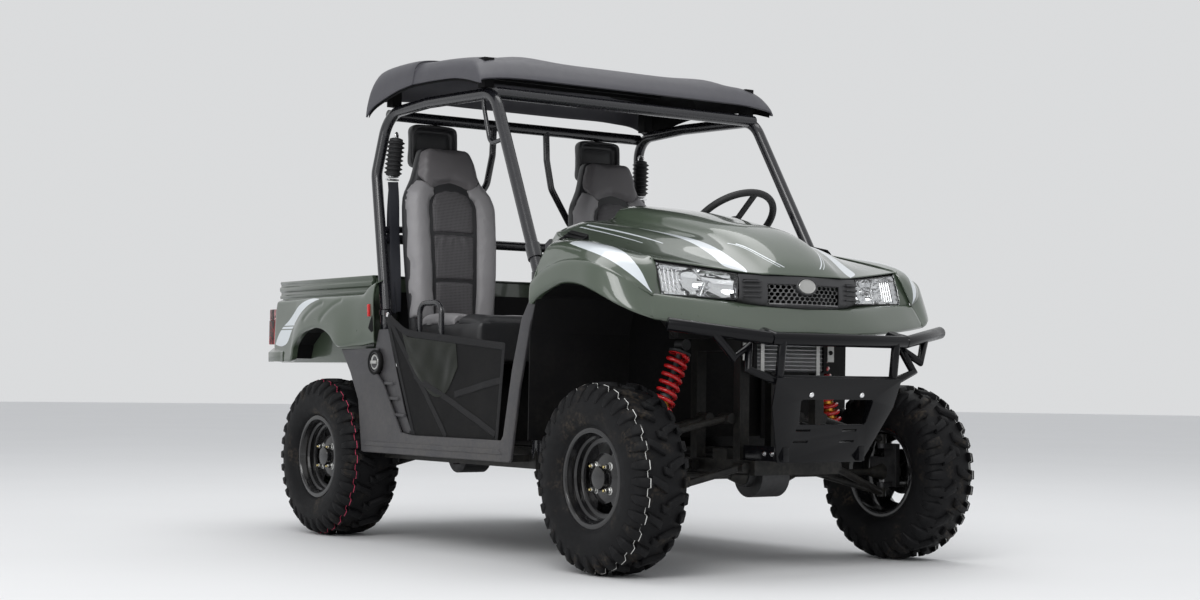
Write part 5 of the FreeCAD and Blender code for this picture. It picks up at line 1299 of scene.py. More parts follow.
def make_springs():
    """Coil springs of the four dampers, with the amber damper bodies inside them."""
    draft = Draft()
    sizes = bpy.context.scene.utv_springs
    for (top, foot), count in zip(DAMPERS, (sizes.front_turns, sizes.rear_turns)):
        for side in (-1, 1):
            high, low = (Vector((x, side * y, z)) for x, y, z in (top, foot))
            along = (low - high).normalized()
            first, last = high + along * 35, high + along * ((low - high).length * 0.8 - 1)
            length = (last - first).length
            coil = grown("coil", Turns=count, Radius=sizes.radius, Wire=sizes.wire,
                         Height=length / 1000 - 0.0118)
            turn = along.to_track_quat("Z", "Y").to_matrix().to_4x4()
            draft.add(coil, Matrix.Translation(at(*(first + along * 5.9))) @ turn)
            draft.tube([tuple(first + along * 1), tuple(first + along * 4)], 37, 0, 20)
            amber = high + along * (length * 0.62)
            draft.tube([tuple(amber), tuple(amber + along * (length * 0.42))], 23.5, 1, 20)
    dress(draft.object("coil_springs", smooth=60), ["spring_red", "damper_amber"], "shock_springs")


# Soft goods: padded panels that swell in a cloth simulation, and their seams


def plump(made, voxel=8.0, pressure=4.0, cap=7.0):
    """Swells a closed shape as stuffed cloth, by at most cap mm, then shades it fine."""
    coarse = made.modifiers.new("voxels", "REMESH")
    coarse.mode, coarse.voxel_size = "VOXEL", voxel / 1000
    settle(made, 60)
    count = len(made.data.vertices)
    rest, moved = np.empty(count * 3), np.empty(count * 3)
    made.data.vertices.foreach_get("co", rest)
    cloth = made.modifiers.new("cloth", "CLOTH").settings
    cloth.use_pressure = True
    cloth.uniform_pressure_force = pressure
    cloth.effector_weights.gravity = 0
    cloth.quality = 4
    scene = bpy.context.scene
    for number in range(1, 21):
        scene.frame_set(number)
    swollen = baked(made)
    swollen.vertices.foreach_get("co", moved)
    bpy.data.meshes.remove(swollen)
    made.modifiers.clear()
    scene.frame_set(1)
    move = (moved - rest).reshape(-1, 3)
    size = np.linalg.norm(move, axis=1, keepdims=True)
    move *= np.minimum(1, cap / 1000 / np.maximum(size, 1e-9))
    made.data.vertices.foreach_set("co", (rest.reshape(-1, 3) + move).ravel())
    return settle(made, 60)


def fine_levels(made, levels=1):
    """Subdivides a swollen piece."""
    fine = made.modifiers.new("fine", "SUBSURF")
    fine.levels = fine.render_levels = levels
    return settle(made, 60)


def shift_points(made, shift):
    """Moves each vertex by shift(its points in mm of the drawing, as columns), which gives mm."""
    count = len(made.data.vertices)
    flat = np.empty(count * 3)
    made.data.vertices.foreach_get("co", flat)
    points = flat.reshape(-1, 3) * 1000 - (MID_X, 0, 0)
    moved = points + shift(points)
    made.data.vertices.foreach_set("co", ((moved + (MID_X, 0, 0)) / 1000).ravel())
    made.data.update()
    return made


# height of the seat back, then its rear and front in station, and its half width
BACK_LINES = [
    (704, -500, -427, 184), (830, -505, -427, 186), (950, -520, -429, 192), (1050, -535, -432, 199),
    (1200, -547, -443, 204), (1330, -558, -456, 205), (1375, -565, -466, 192), (1430, -572, -485, 152),
    (1500, -581, -498, 134), (1548, -587, -508, 118), (1562, -588, -512, 100),
]


# middle of the seat, top of its pierced arch, depth of a padded panel and how far its face swells
SEAT_Y = 400
ARCH_TOP = 1398


PAD_DEPTH = 26
PAD_CROWN = 5.0


def size_on(lines, where, column):
    """A column of a table of lines, read off at a place along its first column."""
    table = np.array(lines, float)
    return np.interp(where, table[:, 0], table[:, column])


def back_line(z, column):
    """A size of the seat back at a height: 1 its rear, 2 its front, 3 its half width."""
    return size_on(BACK_LINES, z, column)


def insert_half(z):
    """Half width of the seat back's pierced middle."""
    return float(np.interp(z, [860, 1050, 1250, 1330, 1370, 1390, ARCH_TOP], [92, 93, 99, 99, 82, 56, 8]))


def face_of(y, z):
    """Station of the seat back's face, dished between its bolsters and turned in at its edges."""
    half = back_line(z, 3)
    share = np.clip(abs(y) / half, 0, 1)
    dish = 20 * (1 - np.clip(share / 0.72, 0, 1) ** 2) if z < 1420 else 6 * (1 - share ** 2)
    edge = 34 * np.clip((share - 0.80) / 0.20, 0, 1) ** 2
    return float(back_line(z, 2) - dish - edge)


def close_panel(draft, face, back):
    """Closes a grid of points with a copy of it moved back, into one padded panel."""
    rows, cols = face.shape[:2]
    front, behind = draft.grid(face), draft.grid(face + back, flip=True)
    edge = [(0, j) for j in range(cols)] + [(i, cols - 1) for i in range(1, rows)]
    edge += [(rows - 1, j) for j in range(cols - 2, -1, -1)] + [(i, 0) for i in range(rows - 2, 0, -1)]
    for (a, b), (c, d) in zip(edge, edge[1:] + edge[:1]):
        draft.face([(front[a][b], 0, 0), (behind[a][b], 0, 0.02), (behind[c][d], 0.01, 0.02),
                    (front[c][d], 0.01, 0)])


def panel(draft, grid, inset, place, back):
    """A closed padded panel: a grid drawn in by inset, whose points place(a, b, rise) puts on the face."""
    grid = np.array(grid, float)
    rows, cols = grid.shape[:2]
    middle = grid.mean((0, 1))
    pulled = grid + (middle - grid) * (inset / np.linalg.norm(grid - middle, axis=2).max())
    swell = np.outer(*(np.sin(np.pi * np.arange(n) / (n - 1)) for n in (rows, cols)))
    rise = PAD_CROWN * (np.maximum(0.0, swell) ** 0.5 - 1)
    face = np.array([[place(a, b, rise[i, j]) for j, (a, b) in enumerate(row)] for i,
                     row in enumerate(pulled)])
    close_panel(draft, face, back)


def insert_columns():
    """The pierced middle of the seat back, arched at its top."""
    return [[(share * insert_half(z), z) for z in np.linspace(866, ARCH_TOP - 2, 34)]
            for share in np.linspace(-1, 1, 13)]


def bolster_columns(side):
    """One side bolster, from the middle's seam to the edge and up to the head part's seam."""
    columns = []
    for share in np.linspace(0, 1, 9):
        heights = [866 + (1376 + 62 * share - 866) * t for t in np.linspace(0, 1, 32)]
        seams = [insert_half(z) + 3 for z in heights]
        columns.append([(side * (seam + (back_line(z, 3) - seam) * share), z) for z,
                        seam in zip(heights, seams)])
    return columns


def head_columns():
    """The plain head part over the bolsters and the arch."""
    columns = []
    for share in np.linspace(-1, 1, 17):
        low = float(np.interp(abs(share), [0, 0.3, 0.6, 1], [ARCH_TOP + 6, ARCH_TOP - 2, 1385, 1444]))
        heights = [low + (1562 - low) * t for t in np.linspace(0, 1, 14)]
        columns.append([(share * float(back_line(z, 3)) * (1 if z < 1545 else 1 - 0.12 * ((z - 1545) / 17)),
                         z)
                        for z in heights])
    return columns


def near_face(points, low, high):
    """1 on points of the seat back's face between two heights, 0 behind it."""
    y, z = np.abs(np.abs(points[:, 1]) - SEAT_Y), points[:, 2]
    front = np.array([face_of(a, b) for a, b in zip(y, z)])
    return ((points[:, 0] > front - 16) & (z > low) & (z < high)).astype(float)


def channels(points):
    """Two stitched channels across the pierced middle, with pleats beside the upper one."""
    on = near_face(points, 870, 1396)
    y = np.abs(points[:, 1] - SEAT_Y)
    pull = sum(12 * np.exp(-((points[:, 2] - z + 0.02 * y) / 7.5) ** 2) for z in (1213, 1026))
    pleats = 1.6 * np.sin(y * 0.16 + points[:, 2] * 0.05) * np.exp(-((points[:, 2] - 1195) / 30) ** 2)
    return np.stack([-(pull + pleats) * on * (y < 97), 0 * y, 0 * y], 1)


def creases(points):
    """Shallow creases low on a bolster."""
    on = near_face(points, 870, 1430)
    z, y = points[:, 2], points[:, 1]
    wave = 0.9 * np.sin(z * 0.045 + y * 0.03) * np.exp(-((z - 930) / 90) ** 2)
    return np.stack([wave * on, 0 * y, 0 * y], 1)


def make_seat_backs():
    """Seat backs: dark shell, grey bolsters, pierced middle with two channels and a plain head part."""
    shell, whole = Draft(), Draft()
    parts = []
    for columns, finish, cap, inset, shift in (
            (insert_columns(), 2, 5, 2.5, channels), (bolster_columns(-1), 1, 8, 3, creases),
            (bolster_columns(1), 1, 8, 3, creases), (head_columns(), 3, 6, 3, None)):
        draft = Draft()
        panel(draft, columns, inset, lambda y, z, rise: (face_of(y, z) + rise, SEAT_Y + y, z),
              (-PAD_DEPTH, 0, 0))
        swollen = fine_levels(plump(draft.object("panel", smooth=60), cap=cap, voxel=7.5))
        if shift:
            shift_points(swollen, shift)
        parts.append((swollen, finish))
    rings = []
    for z, rear, front, half in BACK_LINES:
        middle, deep = (rear + front - 22) / 2, (front - 22 - rear) / 2
        rings.append([(middle + deep * rounded(c, 0.45), SEAT_Y + (half - 1) * rounded(s, 0.45), z)
                      for c, s in turns(28)])
    shell.loft(rings)
    for part, finish in [(shell.object("shell", smooth=60, levels=1), 0)] + parts:
        whole.add(part.data, finish=finish)
        drop(part)
    whole.mirror()
    made = whole.object("seat_back_pads", shut=False, smooth=60)
    dress(made, ["vinyl_black", "vinyl_grey", "vinyl_pierced", "vinyl_head"], "seat_backs")


# cushion: from the rear forward, (station, half width, height of the middle, height of the sides)
CUSHION_LINES = [
    (-424, 176, 868, 880), (-400, 182, 868, 884), (-300, 192, 862, 886), (-200, 198, 862, 884),
    (-130, 201, 866, 882),
    (-60, 202, 872, 880), (0, 200, 874, 876), (30, 192, 866, 866), (42, 182, 846, 846),
]


def cushion_top(x, y):
    """Height of the seat cushion's top: dished between its sides and falling over its front edge."""
    half, middle, side = (size_on(CUSHION_LINES, x, k) for k in (1, 2, 3))
    share = np.clip(abs(y) / half, 0, 1)
    dish, edge = np.clip(share / 0.7, 0, 1) ** 2, np.clip((share - 0.82) / 0.18, 0, 1) ** 2
    return float(middle + (side - middle) * dish - 22 * edge)


def cushion_half(x):
    return float(size_on(CUSHION_LINES, x, 1))


def make_cushions():
    """Seat cushions: dark box sides and front roll, grey side bolsters and a pierced middle."""
    whole, box = Draft(), Draft()
    box.loft([[(min(x, 42), SEAT_Y + side * min(208, half + grow), z)
               for side, lines in ((1, CUSHION_LINES), (-1, CUSHION_LINES[::-1])) for x, half, _, _ in lines]
              for z, grow in ((702, -3), (712, 0), (790, 2), (835, 1), (852, -6))])
    base = plump(box.object("base", smooth=60), cap=5, voxel=10)
    whole.add(base.data)
    drop(base)
    for x0, x1, inner, outer, finish in (
            (-418, -112, lambda x: -96.0, lambda x: 96.0, 2),
            (-418, -128, lambda x: 99.0, lambda x: cushion_half(x) - 1, 1),
            (-418, -128, lambda x: 1 - cushion_half(x), lambda x: -99.0, 1),
            (-110, 41, lambda x: 1 - cushion_half(x), lambda x: cushion_half(x) - 1, 0)):
        draft = Draft()
        grid = [[(x, inner(x) + (outer(x) - inner(x)) * t) for t in np.linspace(0, 1, 11)]
                for x in np.linspace(x0, x1, 20)]
        panel(draft, grid, 3.0, lambda x, y, rise: (x, SEAT_Y + y, cushion_top(x, y) + rise),
              (0, 0, -PAD_DEPTH))
        swollen = fine_levels(plump(draft.object("panel", smooth=60), cap=6, voxel=8))
        whole.add(swollen.data, finish=finish)
        drop(swollen)
    whole.mirror()
    made = whole.object("seat_cushion_pads", shut=False, smooth=60)
    dress(made, ["vinyl_black", "vinyl_grey", "vinyl_pierced"], "seat_cushions")


def make_head_pads():
    """Box-like pads behind the heads, each a padded tray with a sunk middle."""
    draft, whole = Draft(), Draft()
    centre_y, centre_z = 410, 1571
    draft.loft([[(x, centre_y + half_y * rounded(c, 0.28), centre_z + half_z * rounded(s, 0.28))
                 for c, s in turns(40)]
                for x, half_y, half_z in (
                    (-649, 90, 72), (-649.5, 100, 82), (-646, 107, 88), (-620, 109, 90.5), (-602, 108, 89),
                    (-598.5, 104, 86), (-600, 98, 80), (-606, 94, 76), (-628, 91, 73), (-632, 84, 66),
                    (-626, 70, 54), (-624, 30, 24))])
    pads = plump(draft.object("tray", smooth=60, levels=1), cap=2.5, voxel=5.5)
    whole.add(pads.data)
    drop(pads)
    for z in (1624, 1619):
        whole.tube([(-625, centre_y - 66, z), (-625, centre_y + 66, z)], 1.6, sides=8)
    whole.mirror()
    made = whole.object("head_pad_trays", shut=False, smooth=60)
    dress(made, ["vinyl_black"], "head_pads")


def make_boots():
    """Ribbed rubber boots of the belt reels, each with its bright eye above and its bright buckle below."""
    rib, whole = Draft(), Draft()
    rib.lathe([(26, -8.6), (27.5, -6), (35.5, -1.2), (36, 0), (35.5, 1.2), (27.5, 6), (26, 8.6)], sides=32)
    rib = seed_piece(rib, shut=False)
    axis = Vector((0.1, -0.04, 1)).normalized()
    turn = axis.to_track_quat("Z", "Y").to_matrix().to_4x4()
    foot = Vector((-588, 612, 1440)) + axis * 12
    whole.add(grown("row", Piece=rib, Count=8, Spacing=(0.0, 0.0, 0.0172)),
              Matrix.Translation(at(*foot)) @ turn)
    drop(rib)
    head = foot + axis * 130
    whole.lathe([(26, -2), (27, 2), (25, 6), (14, 10), (0, 10)], head, axis, 0, 24)
    whole.lathe([(0, -12), (24, -12), (28, -9), (28, -4), (26, 0)], foot, axis, 0, 24)
    eye = head + axis * 18
    loop = [tuple(eye + Vector((0.58, 0.81, 0)) * (11 * c) + Vector((0, 0, 13 * s))) for c, s in turns(24)]
    whole.tube(loop + loop[:1], 3.4, 1, 10, caps=False)
    whole.lathe([(0, -5), (6, -5), (6, 5), (0, 5)], eye, (0.81, -0.58, 0), 0, 16)
    side = Vector((0.25, 0.97, 0))
    for z, reach, thick in ((-16, 26, 3.0), (-27, 30, 3.4)):
        middle = foot + axis * z
        loop = bent([tuple(middle + side * reach * a + Vector((0.97, -0.25, 0)) * 9 * b)
                     for a, b in ((0, 1), (1, 1), (1, -1), (-1, -1), (-1, 1), (0, 1))], 6, 4)
        whole.tube(loop, thick, 1, 8, caps=False)
    whole.mirror()
    dress(whole.object("reel_boots", smooth=45), ["soft_rubber", "chrome"], "belt_boots")


# a strap's section: shares of its width and of its thickness
STRAP = [(-0.5, -0.2), (-0.46, -0.5), (-0.2, -0.5), (0.2, -0.5), (0.46, -0.5), (0.5, -0.2), (0.5, 0.2),
         (0.46, 0.5), (0.2, 0.5), (-0.2, 0.5), (-0.46, 0.5), (-0.5, 0.2)]


def strap(draft, line, across, width, thick=1.6):
    """A flat webbing strap along a line of points, laid across the given direction; its length in m."""
    line = curve_through(line, 8)
    across = np.asarray(across, float)
    across = np.repeat(across[None], len(line), 0) if across.ndim == 1 else curve_through(across, 8)
    heads = np.gradient(line, axis=0)
    heads /= np.linalg.norm(heads, axis=1, keepdims=True)
    across = across - heads * (across * heads).sum(1, keepdims=True)
    across /= np.linalg.norm(across, axis=1, keepdims=True)
    draft.loft([[point + side * width * a + up * thick * b for a, b in STRAP]
                for point, side, up in zip(line, across, np.cross(heads, across))])
    return float(np.linalg.norm(np.diff(line, axis=0), axis=1).sum()) / 1000


def make_belts():
    """Seat belts: a shoulder run from each buckle and the lap run that meets it at the seat's foot."""
    for side, hand in ((1, "left"), (-1, "right")):
        draft = Draft()
        long = strap(draft, [(-585, side * 612, 1416), (-574, side * 612, 1340), (-566, side * 611, 1200),
                             (-556, side * 610, 1050), (-549, side * 610, 900)],
                     [(0.3, 1, 0), (0.3, 1, 0), (0.1, 1, 0), (0.5, 1, 0), (0.2, 1, 0)], 42)
        made = draft.object("belt_shoulder_" + hand, shut=True, smooth=60)
        dress(made, ["webbing"], "seat_belts")
        draft = Draft()
        long = strap(draft, [(-590, side * 606, 1414), (-596, side * 611, 1300), (-590, side * 616, 1150),
                             (-572, side * 620, 1010), (-554, side * 622, 892)],
                     [(0.6, 0.8, 0), (0.8, 0.6, 0), (0.9, 0.3, 0), (0.9, 0.3, 0), (0.9, 0.3, 0)], 38)
        made = draft.object("belt_lap_" + hand, shut=True, smooth=60)
        dress(made, ["webbing"], "seat_belts")
    latch = Draft()
    latch.loft([[(-575 + a, 610 + b, z) for a, b in ((-16, -13), (16, -13), (16, 13), (-16, 13))]
                for z in (872, 905, 912)])
    latch.lathe([(0, 0), (10, 0), (10, 4), (6, 7), (0, 7)], (-560, 624, 890), (0.4, 1, 0), 1, 20)
    latch.mirror()
    dress(latch.object("belt_latches", bevel=3), ["soft_rubber", "chrome"])


# foot and top of the net's rear and front edges as (station, height), and the kink of its top
NET_REAR = np.array([(-231, 415), (-460, 894)])
NET_FRONT = np.array([(343, 415), (386, 767)])
KINK_SHARE, KINK_HEIGHT = 0.19, 822


def net_point(s, t, side):
    """A point of the side net: s from its rear to its front edge, t from its foot to its top binding."""
    rear, front = (edge[0] + (edge[1] - edge[0]) * t for edge in (NET_REAR, NET_FRONT))
    x, z = rear + (front - rear) * s
    straight = NET_REAR[1][1] + (NET_FRONT[1][1] - NET_REAR[1][1]) * KINK_SHARE
    z += (KINK_HEIGHT - straight) * np.interp(s, [0, KINK_SHARE, 1], [0, 1, 0]) * t ** 1.5
    fold = 5.0 * math.sin(7.0 * s * math.pi + 2.2 * t) * t * (1 - t) * 4 * 0.6
    fold += 3.5 * math.sin((s * 5 - t * 4) * math.pi) * math.exp(-((s - 0.35) / 0.3) ** 2) * (1 - t)
    fold -= 6.0 * math.exp(-((s - 0.62) / 0.25) ** 2 - ((t - 0.45) / 0.3) ** 2)
    fold *= min(1.0, 8 * min(s, 1 - s, t, 1 - t))
    return x, side * (701.0 + max(-9.0, 0.7 * min(0.0, fold) + 0.1 * max(0.0, fold))), z


def window_point(u, v, side):
    """A point of the net's creased window: u from its rear to its front, v upwards."""
    low = 0.86 - 0.46 * math.sin(math.pi * min(1.0, 0.12 + 0.80 * u)) - 0.05 * u
    x, y, z = net_point(0.13 + 0.48 * u, low + (0.93 - low) * v, side)
    crease = 1.3 * math.sin(9 * u + 4 * v) * math.sin(5 * v + 3 * u) + 0.8 * math.sin(21 * u - 9 * v)
    return x, y + side * (2.8 + crease * min(1, 6 * min(u, 1 - u, v, 1 - v))), z


def make_nets():
    """Side nets: cloth with soft folds, a creased dark window, bindings, straps and their bright knobs."""
    for side, hand in ((1, "left"), (-1, "right")):
        cloth, trim, pane = Draft(), Draft(), Draft()
        grid = np.array([[net_point(s, t, side) for t in np.linspace(0, 1, 31)]
                         for s in np.linspace(0, 1, 61)])
        cloth.grid(grid)
        made = cloth.object("net_cloth_" + hand, shut=False, wall=1.4, smooth=60)
        dress(made, ["net_cloth"], "side_nets")
        out = np.array((0, side * 2.6, 0))
        strap(trim, [net_point(s, 1, side) + out + (0, 0, -12) for s in np.linspace(0, 1, 13)],
              (0, 0, 1), 26, 2.2)
        for line, across in (([(1, t) for t in (1, 0.66, 0.33, 0)], (1, 0, 0)),
                             ([(0, t) for t in (0, 0.33, 0.66, 1)], (1, 0, 0)),
                             ([(s, 0) for s in (1, 0.5, 0)], (0, 0, 1))):
            strap(trim, [net_point(s, t, side) + out for s, t in line], across, 18, 2.0)
        for (s0, t0), (s1, t1) in (((0.02, 0.96), (0.40, 0.02)), ((0.16, 0.55), (0.98, 0.08)),
                                   ((0.55, 0.42), (0.99, 0.62))):
            strap(trim, [net_point(s0 + (s1 - s0) * k, t0 + (t1 - t0) * k, side) + out
                         for k in np.linspace(0, 1, 21)],
                  (0.5, 0, 1), 24, 2.0)
        pane.grid([[window_point(i / 32, j / 16, side) for j in range(17)] for i in range(33)])
        window = pane.object("net_window_" + hand, shut=False, wall=0.8, smooth=70)
        dress(window, ["vinyl_window"])
        trim.lathe([(0, 6), (8, 6), (10, 3), (10, 0), (4, -2)], (-452, side * 700, 884),
                   (0, side, 0.2), 1, 24)
        trim.loft([[(-246 + a, side * (700 + b), z) for a, b in ((-22, -3), (22, -3), (22, 3), (-22, 3))]
                   for z in (404, 440)])
        bound = trim.object("net_straps_" + hand, shut=True, smooth=60)
        dress(bound, ["net_strap", "chrome"])


def make_radiator():
    """Radiator: finned core between side tanks, with bright brackets."""
    low, high = 674.0, 772.0
    core, fin = Draft(), Draft()
    fin.loft([[(1071, y, z) for z in (low, high)] + [(1106, y, z) for z in (high, low)]
              for y in (-150, -149.2)])
    fin = seed_piece(fin, shut=False)
    core.add(grown("row", Piece=fin, Count=75, Spacing=(0.0, 0.004, 0.0)), TO_ORIGIN.inverted())
    drop(fin)
    core.block((1072, -151, low), (1074, 151, high))
    for k in range(7):
        z = low + 8 + k * 13.5
        core.loft([[(1072, y, z), (1105, y, z), (1105, y, z + 3), (1072, y, z + 3)] for y in (-152, 152)])
    for z in (low - 2, high - 2):
        core.block((1070, -155, z), (1108, 155, z + 4), 1)
    for side in (-1, 1):
        for x0, x1, inner, outer, z0, z1, finish in ((1072, 1112, 151, 166, 676, 770, 1),
                                                     (1108, 1111, 118, 134, 660, 790, 2),
                                                     (1100, 1104, 176, 206, 712, 772, 2)):
            y0, y1 = sorted((side * inner, side * outer))
            core.block((x0, y0, z0), (x1, y1, z1), finish)
        core.lathe([(0, 0), (8, 0), (8, 4), (0, 4)], (1103, side * 190, 744), (1, 0, 0), 1, 16)
    made = core.object("radiator_core", shut=True, bevel=0.6, segments=1, limit=60)
    dress(made, ["core_alloy", "shaded_liner_plastic", "zinc_steel"], "radiator")


# Stage

# the camera: its place in mm, the way it looks in degrees, and its focal length in pixels of its picture
VIEW_FROM = (6239, -4482, 637)
VIEW_TURN = (144.39, 2.35, 0.68)
VIEW_FOCAL, VIEW_WIDTH = 1972, 1200


def make_stage():
    """Pale floor, soft lights and the camera."""
    scene = bpy.context.scene
    graph, ground = material("pale_floor", roughness=0.75)
    graph.put(ground, "Base Color", graph.mix(graph.noise(graph.place(), 0.7), rgb(0.72, 0.72, 0.72),
                                              rgb(0.76, 0.76, 0.76)))
    bpy.ops.mesh.primitive_circle_add(vertices=96, radius=40, fill_type="NGON", location=(0, 0, 0))
    floor = bpy.context.object
    floor.name = "studio_floor"
    floor.data.materials.append(FINISHES["pale_floor"])
    world = scene.world or bpy.data.worlds.new("studio")
    scene.world = world
    world.use_nodes = True
    sky = Graph(world.node_tree)
    height = sky.split(sky.node("ShaderNodeTexCoord", 0))[2]
    shade = sky.mix(sky.step(height, -0.05, 0.7), rgb(0.46, 0.47, 0.49), rgb(0.92, 0.94, 0.97))
    path = sky.node("ShaderNodeLightPath", None)
    seen = sky.math("MAXIMUM", sky.math("MAXIMUM", path["Is Camera Ray"], path["Is Transmission Ray"]),
                    path["Is Glossy Ray"])
    backdrop = world.node_tree.nodes["Background"].inputs
    sky.put(backdrop, "Color", sky.mix(seen, shade, rgb(0.86, 0.87, 0.88)))
    backdrop["Strength"].default_value = 0.82
    for name, place, aim, size, power in (
            ("key", (5.5, -6.0, 6.5), (0.3, 0, 0.6), 5.0, 330),
            ("fill", (2.0, -9.0, 2.4), (0.2, 0, 0.7), 4.0, 70),
            ("top", (-0.5, 1.0, 7.5), (0, 0, 0.8), 6.0, 180)):
        lamp = bpy.data.lights.new(name, "AREA")
        lamp.shape, lamp.size, lamp.energy = "DISK", size, power
        light = placed(name, lamp)
        light.location = place
        light.rotation_euler = (Vector(aim) - Vector(place)).to_track_quat("-Z", "Y").to_euler()
    yaw, pitch, roll = (math.radians(turn) for turn in VIEW_TURN)
    ahead = Vector((math.cos(yaw) * math.cos(pitch), math.sin(yaw) * math.cos(pitch), math.sin(pitch)))
    level = Vector((math.sin(yaw), -math.cos(yaw), 0))
    upright = level.cross(ahead)
    right = level * math.cos(roll) + upright * math.sin(roll)
    up = upright * math.cos(roll) - level * math.sin(roll)
    lens = bpy.data.cameras.new("view")
    lens.sensor_width, lens.lens = 36.0, VIEW_FOCAL / VIEW_WIDTH * 36.0
    lens.clip_end = 200
    camera = placed("view", lens)
    camera.matrix_world = Matrix.Translation(at(*VIEW_FROM)) @ Matrix((right, up,
                                                                       -ahead)).transposed().to_4x4()
    scene.camera = camera
    scene.view_settings.view_transform = "Standard"


# What a user may change


class UtvFinish(bpy.types.PropertyGroup):
    """Colours of the bodywork."""
    body_colour: bpy.props.FloatVectorProperty(
        name="Body colour", description="Colour of the glossy bodywork", subtype="COLOR",
        default=(0.058, 0.079, 0.053), min=0, max=1)
    stripe_colour: bpy.props.FloatVectorProperty(
        name="Stripe colour", description="Colour of the stripes on hood and fenders", subtype="COLOR",
        default=(0.66, 0.70, 0.73), min=0, max=1)


class UtvWheels(bpy.types.PropertyGroup):
    """Sizes of the wheels."""
    lugs: bpy.props.IntProperty(
        name="Lugs", description="Long lugs round one side of a tyre's tread", default=16, min=8, max=30)


class UtvSprings(bpy.types.PropertyGroup):
    """Sizes of the coil springs."""
    wire: bpy.props.FloatProperty(
        name="Wire", description="Radius of the springs' wire", default=0.0074, min=0.002, max=0.012,
        unit="LENGTH")
    radius: bpy.props.FloatProperty(
        name="Radius", description="Radius of the coils, to the middle of their wire", default=0.033,
        min=0.02, max=0.05, unit="LENGTH")
    front_turns: bpy.props.FloatProperty(
        name="Front turns", description="Turns of a front spring", default=11.0, min=4, max=16)
    rear_turns: bpy.props.FloatProperty(
        name="Rear turns", description="Turns of a rear spring", default=7.5, min=3, max=16)


def dress_nodes():
    """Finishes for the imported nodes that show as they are."""
    for finish, nodes in NODE_FINISHES.items():
        for node in nodes:
            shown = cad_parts[node]
            shown.data.materials.clear()
            shown.data.materials.append(FINISHES[finish])


NODE_FINISHES = {
    "chassis_black": ("frame", "front_subframe", "rear_subframe", "skid_plate", "half_shafts", "front_arms",
                      "rear_arms"),
    "black_tube": ("pillar_posts", "roll_cage", "hip_rails"),
    "shaded_liner_plastic": ("arch_liners", "cab_floor", "rear_liners"),
    "panel_plastic": ("dashboard",),
    "cast_dark": ("engine", "drivelines", "shock_dampers", "rear_carriers", "knuckle_left", "knuckle_right"),
    "exhaust_steel": ("muffler",),
    "grip_foam": ("steering_wheel",),
}


class UTV_OT_materials(bpy.types.Operator):
    """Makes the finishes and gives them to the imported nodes."""
    bl_idname = "utv.materials"
    bl_label = "Finishes"

    def execute(self, context):
        make_finishes()
        for key, build in (("ring", ring_tree), ("spots", spots_tree), ("row", row_tree),
                           ("coil", coil_tree)):
            TREES[key] = build()
        dress_nodes()
        return {"FINISHED"}


class UTV_OT_wheels(bpy.types.Operator):
    """Tyres with their lugs, and the dished rims."""
    bl_idname = "utv.wheels"
    bl_label = "Wheels"

    def execute(self, context):
        for wheel in WHEELS:
            make_wheel(*wheel)
        return {"FINISHED"}


class UTV_OT_hood(bpy.types.Operator):
    """Hood with its hinges."""
    bl_idname = "utv.hood"
    bl_label = "Hood with its hinges"

    def execute(self, context):
        make_hood()
        return {"FINISHED"}


class UTV_OT_cowl(bpy.types.Operator):
    """Fenders, nose band and corners."""
    bl_idname = "utv.cowl"
    bl_label = "Fenders, nose band and corners"

    def execute(self, context):
        make_cowl()
        return {"FINISHED"}


class UTV_OT_roof(bpy.types.Operator):
    """Roof."""
    bl_idname = "utv.roof"
    bl_label = "Roof"

    def execute(self, context):
        make_roof()
        return {"FINISHED"}


class UTV_OT_side_panels(bpy.types.Operator):
    """Side mouldings."""
    bl_idname = "utv.side_panels"
    bl_label = "Side mouldings"

    def execute(self, context):
        make_side_panels()
        return {"FINISHED"}


class UTV_OT_rear_box(bpy.types.Operator):
    """Rear wings, box, gate and lamps."""
    bl_idname = "utv.rear_box"
    bl_label = "Rear wings, box, gate and lamps"

    def execute(self, context):
        make_wings()
        make_rear_box()
        return {"FINISHED"}


class UTV_OT_grille(bpy.types.Operator):
    """Grille and badge seat."""
    bl_idname = "utv.grille"
    bl_label = "Grille and badge seat"

    def execute(self, context):
        make_grille()
        return {"FINISHED"}


class UTV_OT_lamps(bpy.types.Operator):
    """Headlamps."""
    bl_idname = "utv.lamps"
    bl_label = "Headlamps"

    def execute(self, context):
        make_lamps()
        return {"FINISHED"}


class UTV_OT_bumper(bpy.types.Operator):
    """Front bumper."""
    bl_idname = "utv.bumper"
    bl_label = "Front bumper"

    def execute(self, context):
        make_bumper()
        return {"FINISHED"}


class UTV_OT_springs(bpy.types.Operator):
    """Coil springs."""
    bl_idname = "utv.springs"
    bl_label = "Coil springs"

    def execute(self, context):
        make_springs()
        return {"FINISHED"}


class UTV_OT_seat_backs(bpy.types.Operator):
    """Seat backs with their bolsters and channels."""
    bl_idname = "utv.seat_backs"
    bl_label = "Seat backs"

    def execute(self, context):
        make_seat_backs()
        return {"FINISHED"}


class UTV_OT_cushions(bpy.types.Operator):
    """Seat cushions."""
    bl_idname = "utv.cushions"
    bl_label = "Seat cushions"

    def execute(self, context):
        make_cushions()
        return {"FINISHED"}


class UTV_OT_head_pads(bpy.types.Operator):
    """Padded trays behind the heads."""
    bl_idname = "utv.head_pads"
    bl_label = "Head pads"

    def execute(self, context):
        make_head_pads()
        return {"FINISHED"}


class UTV_OT_boots(bpy.types.Operator):
    """Ribbed boots of the belt reels."""
    bl_idname = "utv.boots"
    bl_label = "Belt boots"

    def execute(self, context):
        make_boots()
        return {"FINISHED"}


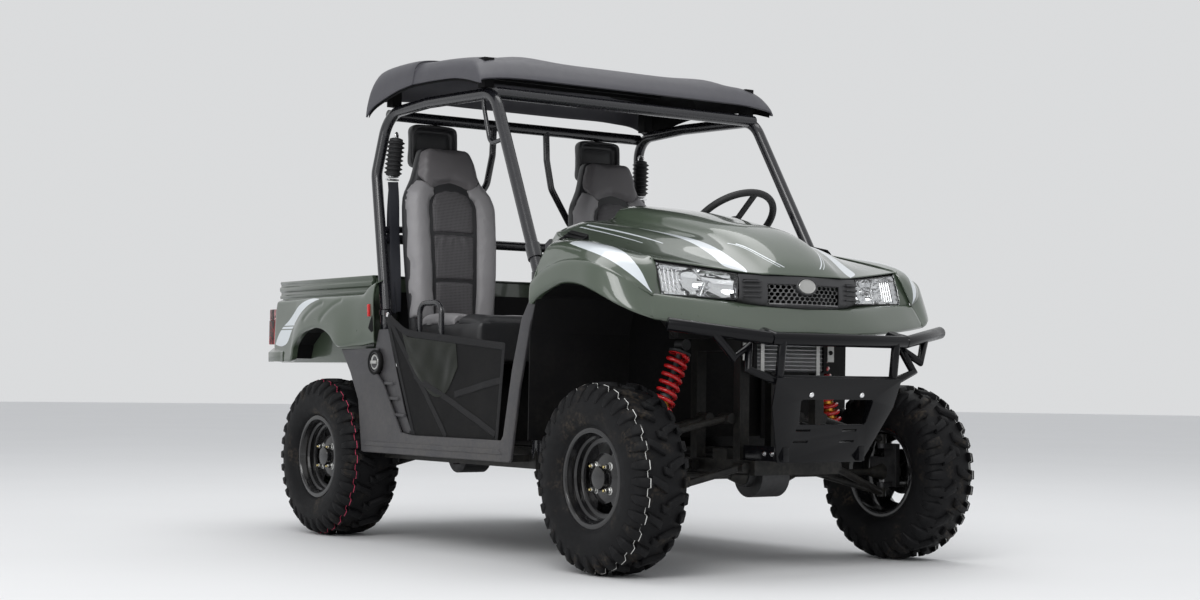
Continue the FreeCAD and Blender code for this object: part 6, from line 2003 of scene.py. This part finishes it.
class UTV_OT_belts(bpy.types.Operator):
    """Seat belts and their latches."""
    bl_idname = "utv.belts"
    bl_label = "Seat belts"

    def execute(self, context):
        make_belts()
        return {"FINISHED"}


class UTV_OT_nets(bpy.types.Operator):
    """Side nets with their windows and straps."""
    bl_idname = "utv.nets"
    bl_label = "Side nets"

    def execute(self, context):
        make_nets()
        return {"FINISHED"}


class UTV_OT_radiator(bpy.types.Operator):
    """Radiator core and brackets."""
    bl_idname = "utv.radiator"
    bl_label = "Radiator"

    def execute(self, context):
        make_radiator()
        return {"FINISHED"}


class UTV_OT_stage(bpy.types.Operator):
    """Pale floor, soft lights and the camera."""
    bl_idname = "utv.stage"
    bl_label = "Stage"

    def execute(self, context):
        make_stage()
        return {"FINISHED"}


OPERATORS = [
    UTV_OT_stage, UTV_OT_materials, UTV_OT_wheels, UTV_OT_hood, UTV_OT_cowl, UTV_OT_roof, UTV_OT_side_panels,
    UTV_OT_rear_box, UTV_OT_grille, UTV_OT_lamps, UTV_OT_bumper, UTV_OT_springs, UTV_OT_seat_backs,
    UTV_OT_cushions,
    UTV_OT_head_pads, UTV_OT_boots, UTV_OT_belts, UTV_OT_nets, UTV_OT_radiator,
]


class UTV_PT_panel(bpy.types.Panel):
    """Sizes, colours and builders of the vehicle."""
    bl_idname = "UTV_PT_panel"
    bl_label = "Utility vehicle"
    bl_space_type = "VIEW_3D"
    bl_region_type = "UI"
    bl_category = "Utility vehicle"

    def draw(self, context):
        for key in SETTINGS:
            group = getattr(context.scene, key)
            for name in type(group).__annotations__:
                self.layout.prop(group, name)
        for builder in OPERATORS:
            self.layout.operator(builder.bl_idname)


SETTINGS = {"utv_finish": UtvFinish, "utv_wheels": UtvWheels, "utv_springs": UtvSprings}
CLASSES = [*SETTINGS.values(), *OPERATORS, UTV_PT_panel]


def register():
    for cls in CLASSES:
        bpy.utils.register_class(cls)
    for key, group in SETTINGS.items():
        setattr(bpy.types.Scene, key, bpy.props.PointerProperty(type=group))


def unregister():
    for key in SETTINGS:
        delattr(bpy.types.Scene, key)
    for cls in reversed(CLASSES):
        bpy.utils.unregister_class(cls)


def main():
    register()
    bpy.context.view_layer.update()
    for builder in OPERATORS:
        group, name = builder.bl_idname.split(".")
        getattr(getattr(bpy.ops, group), name)()


if __name__ == "__main__":
    main()
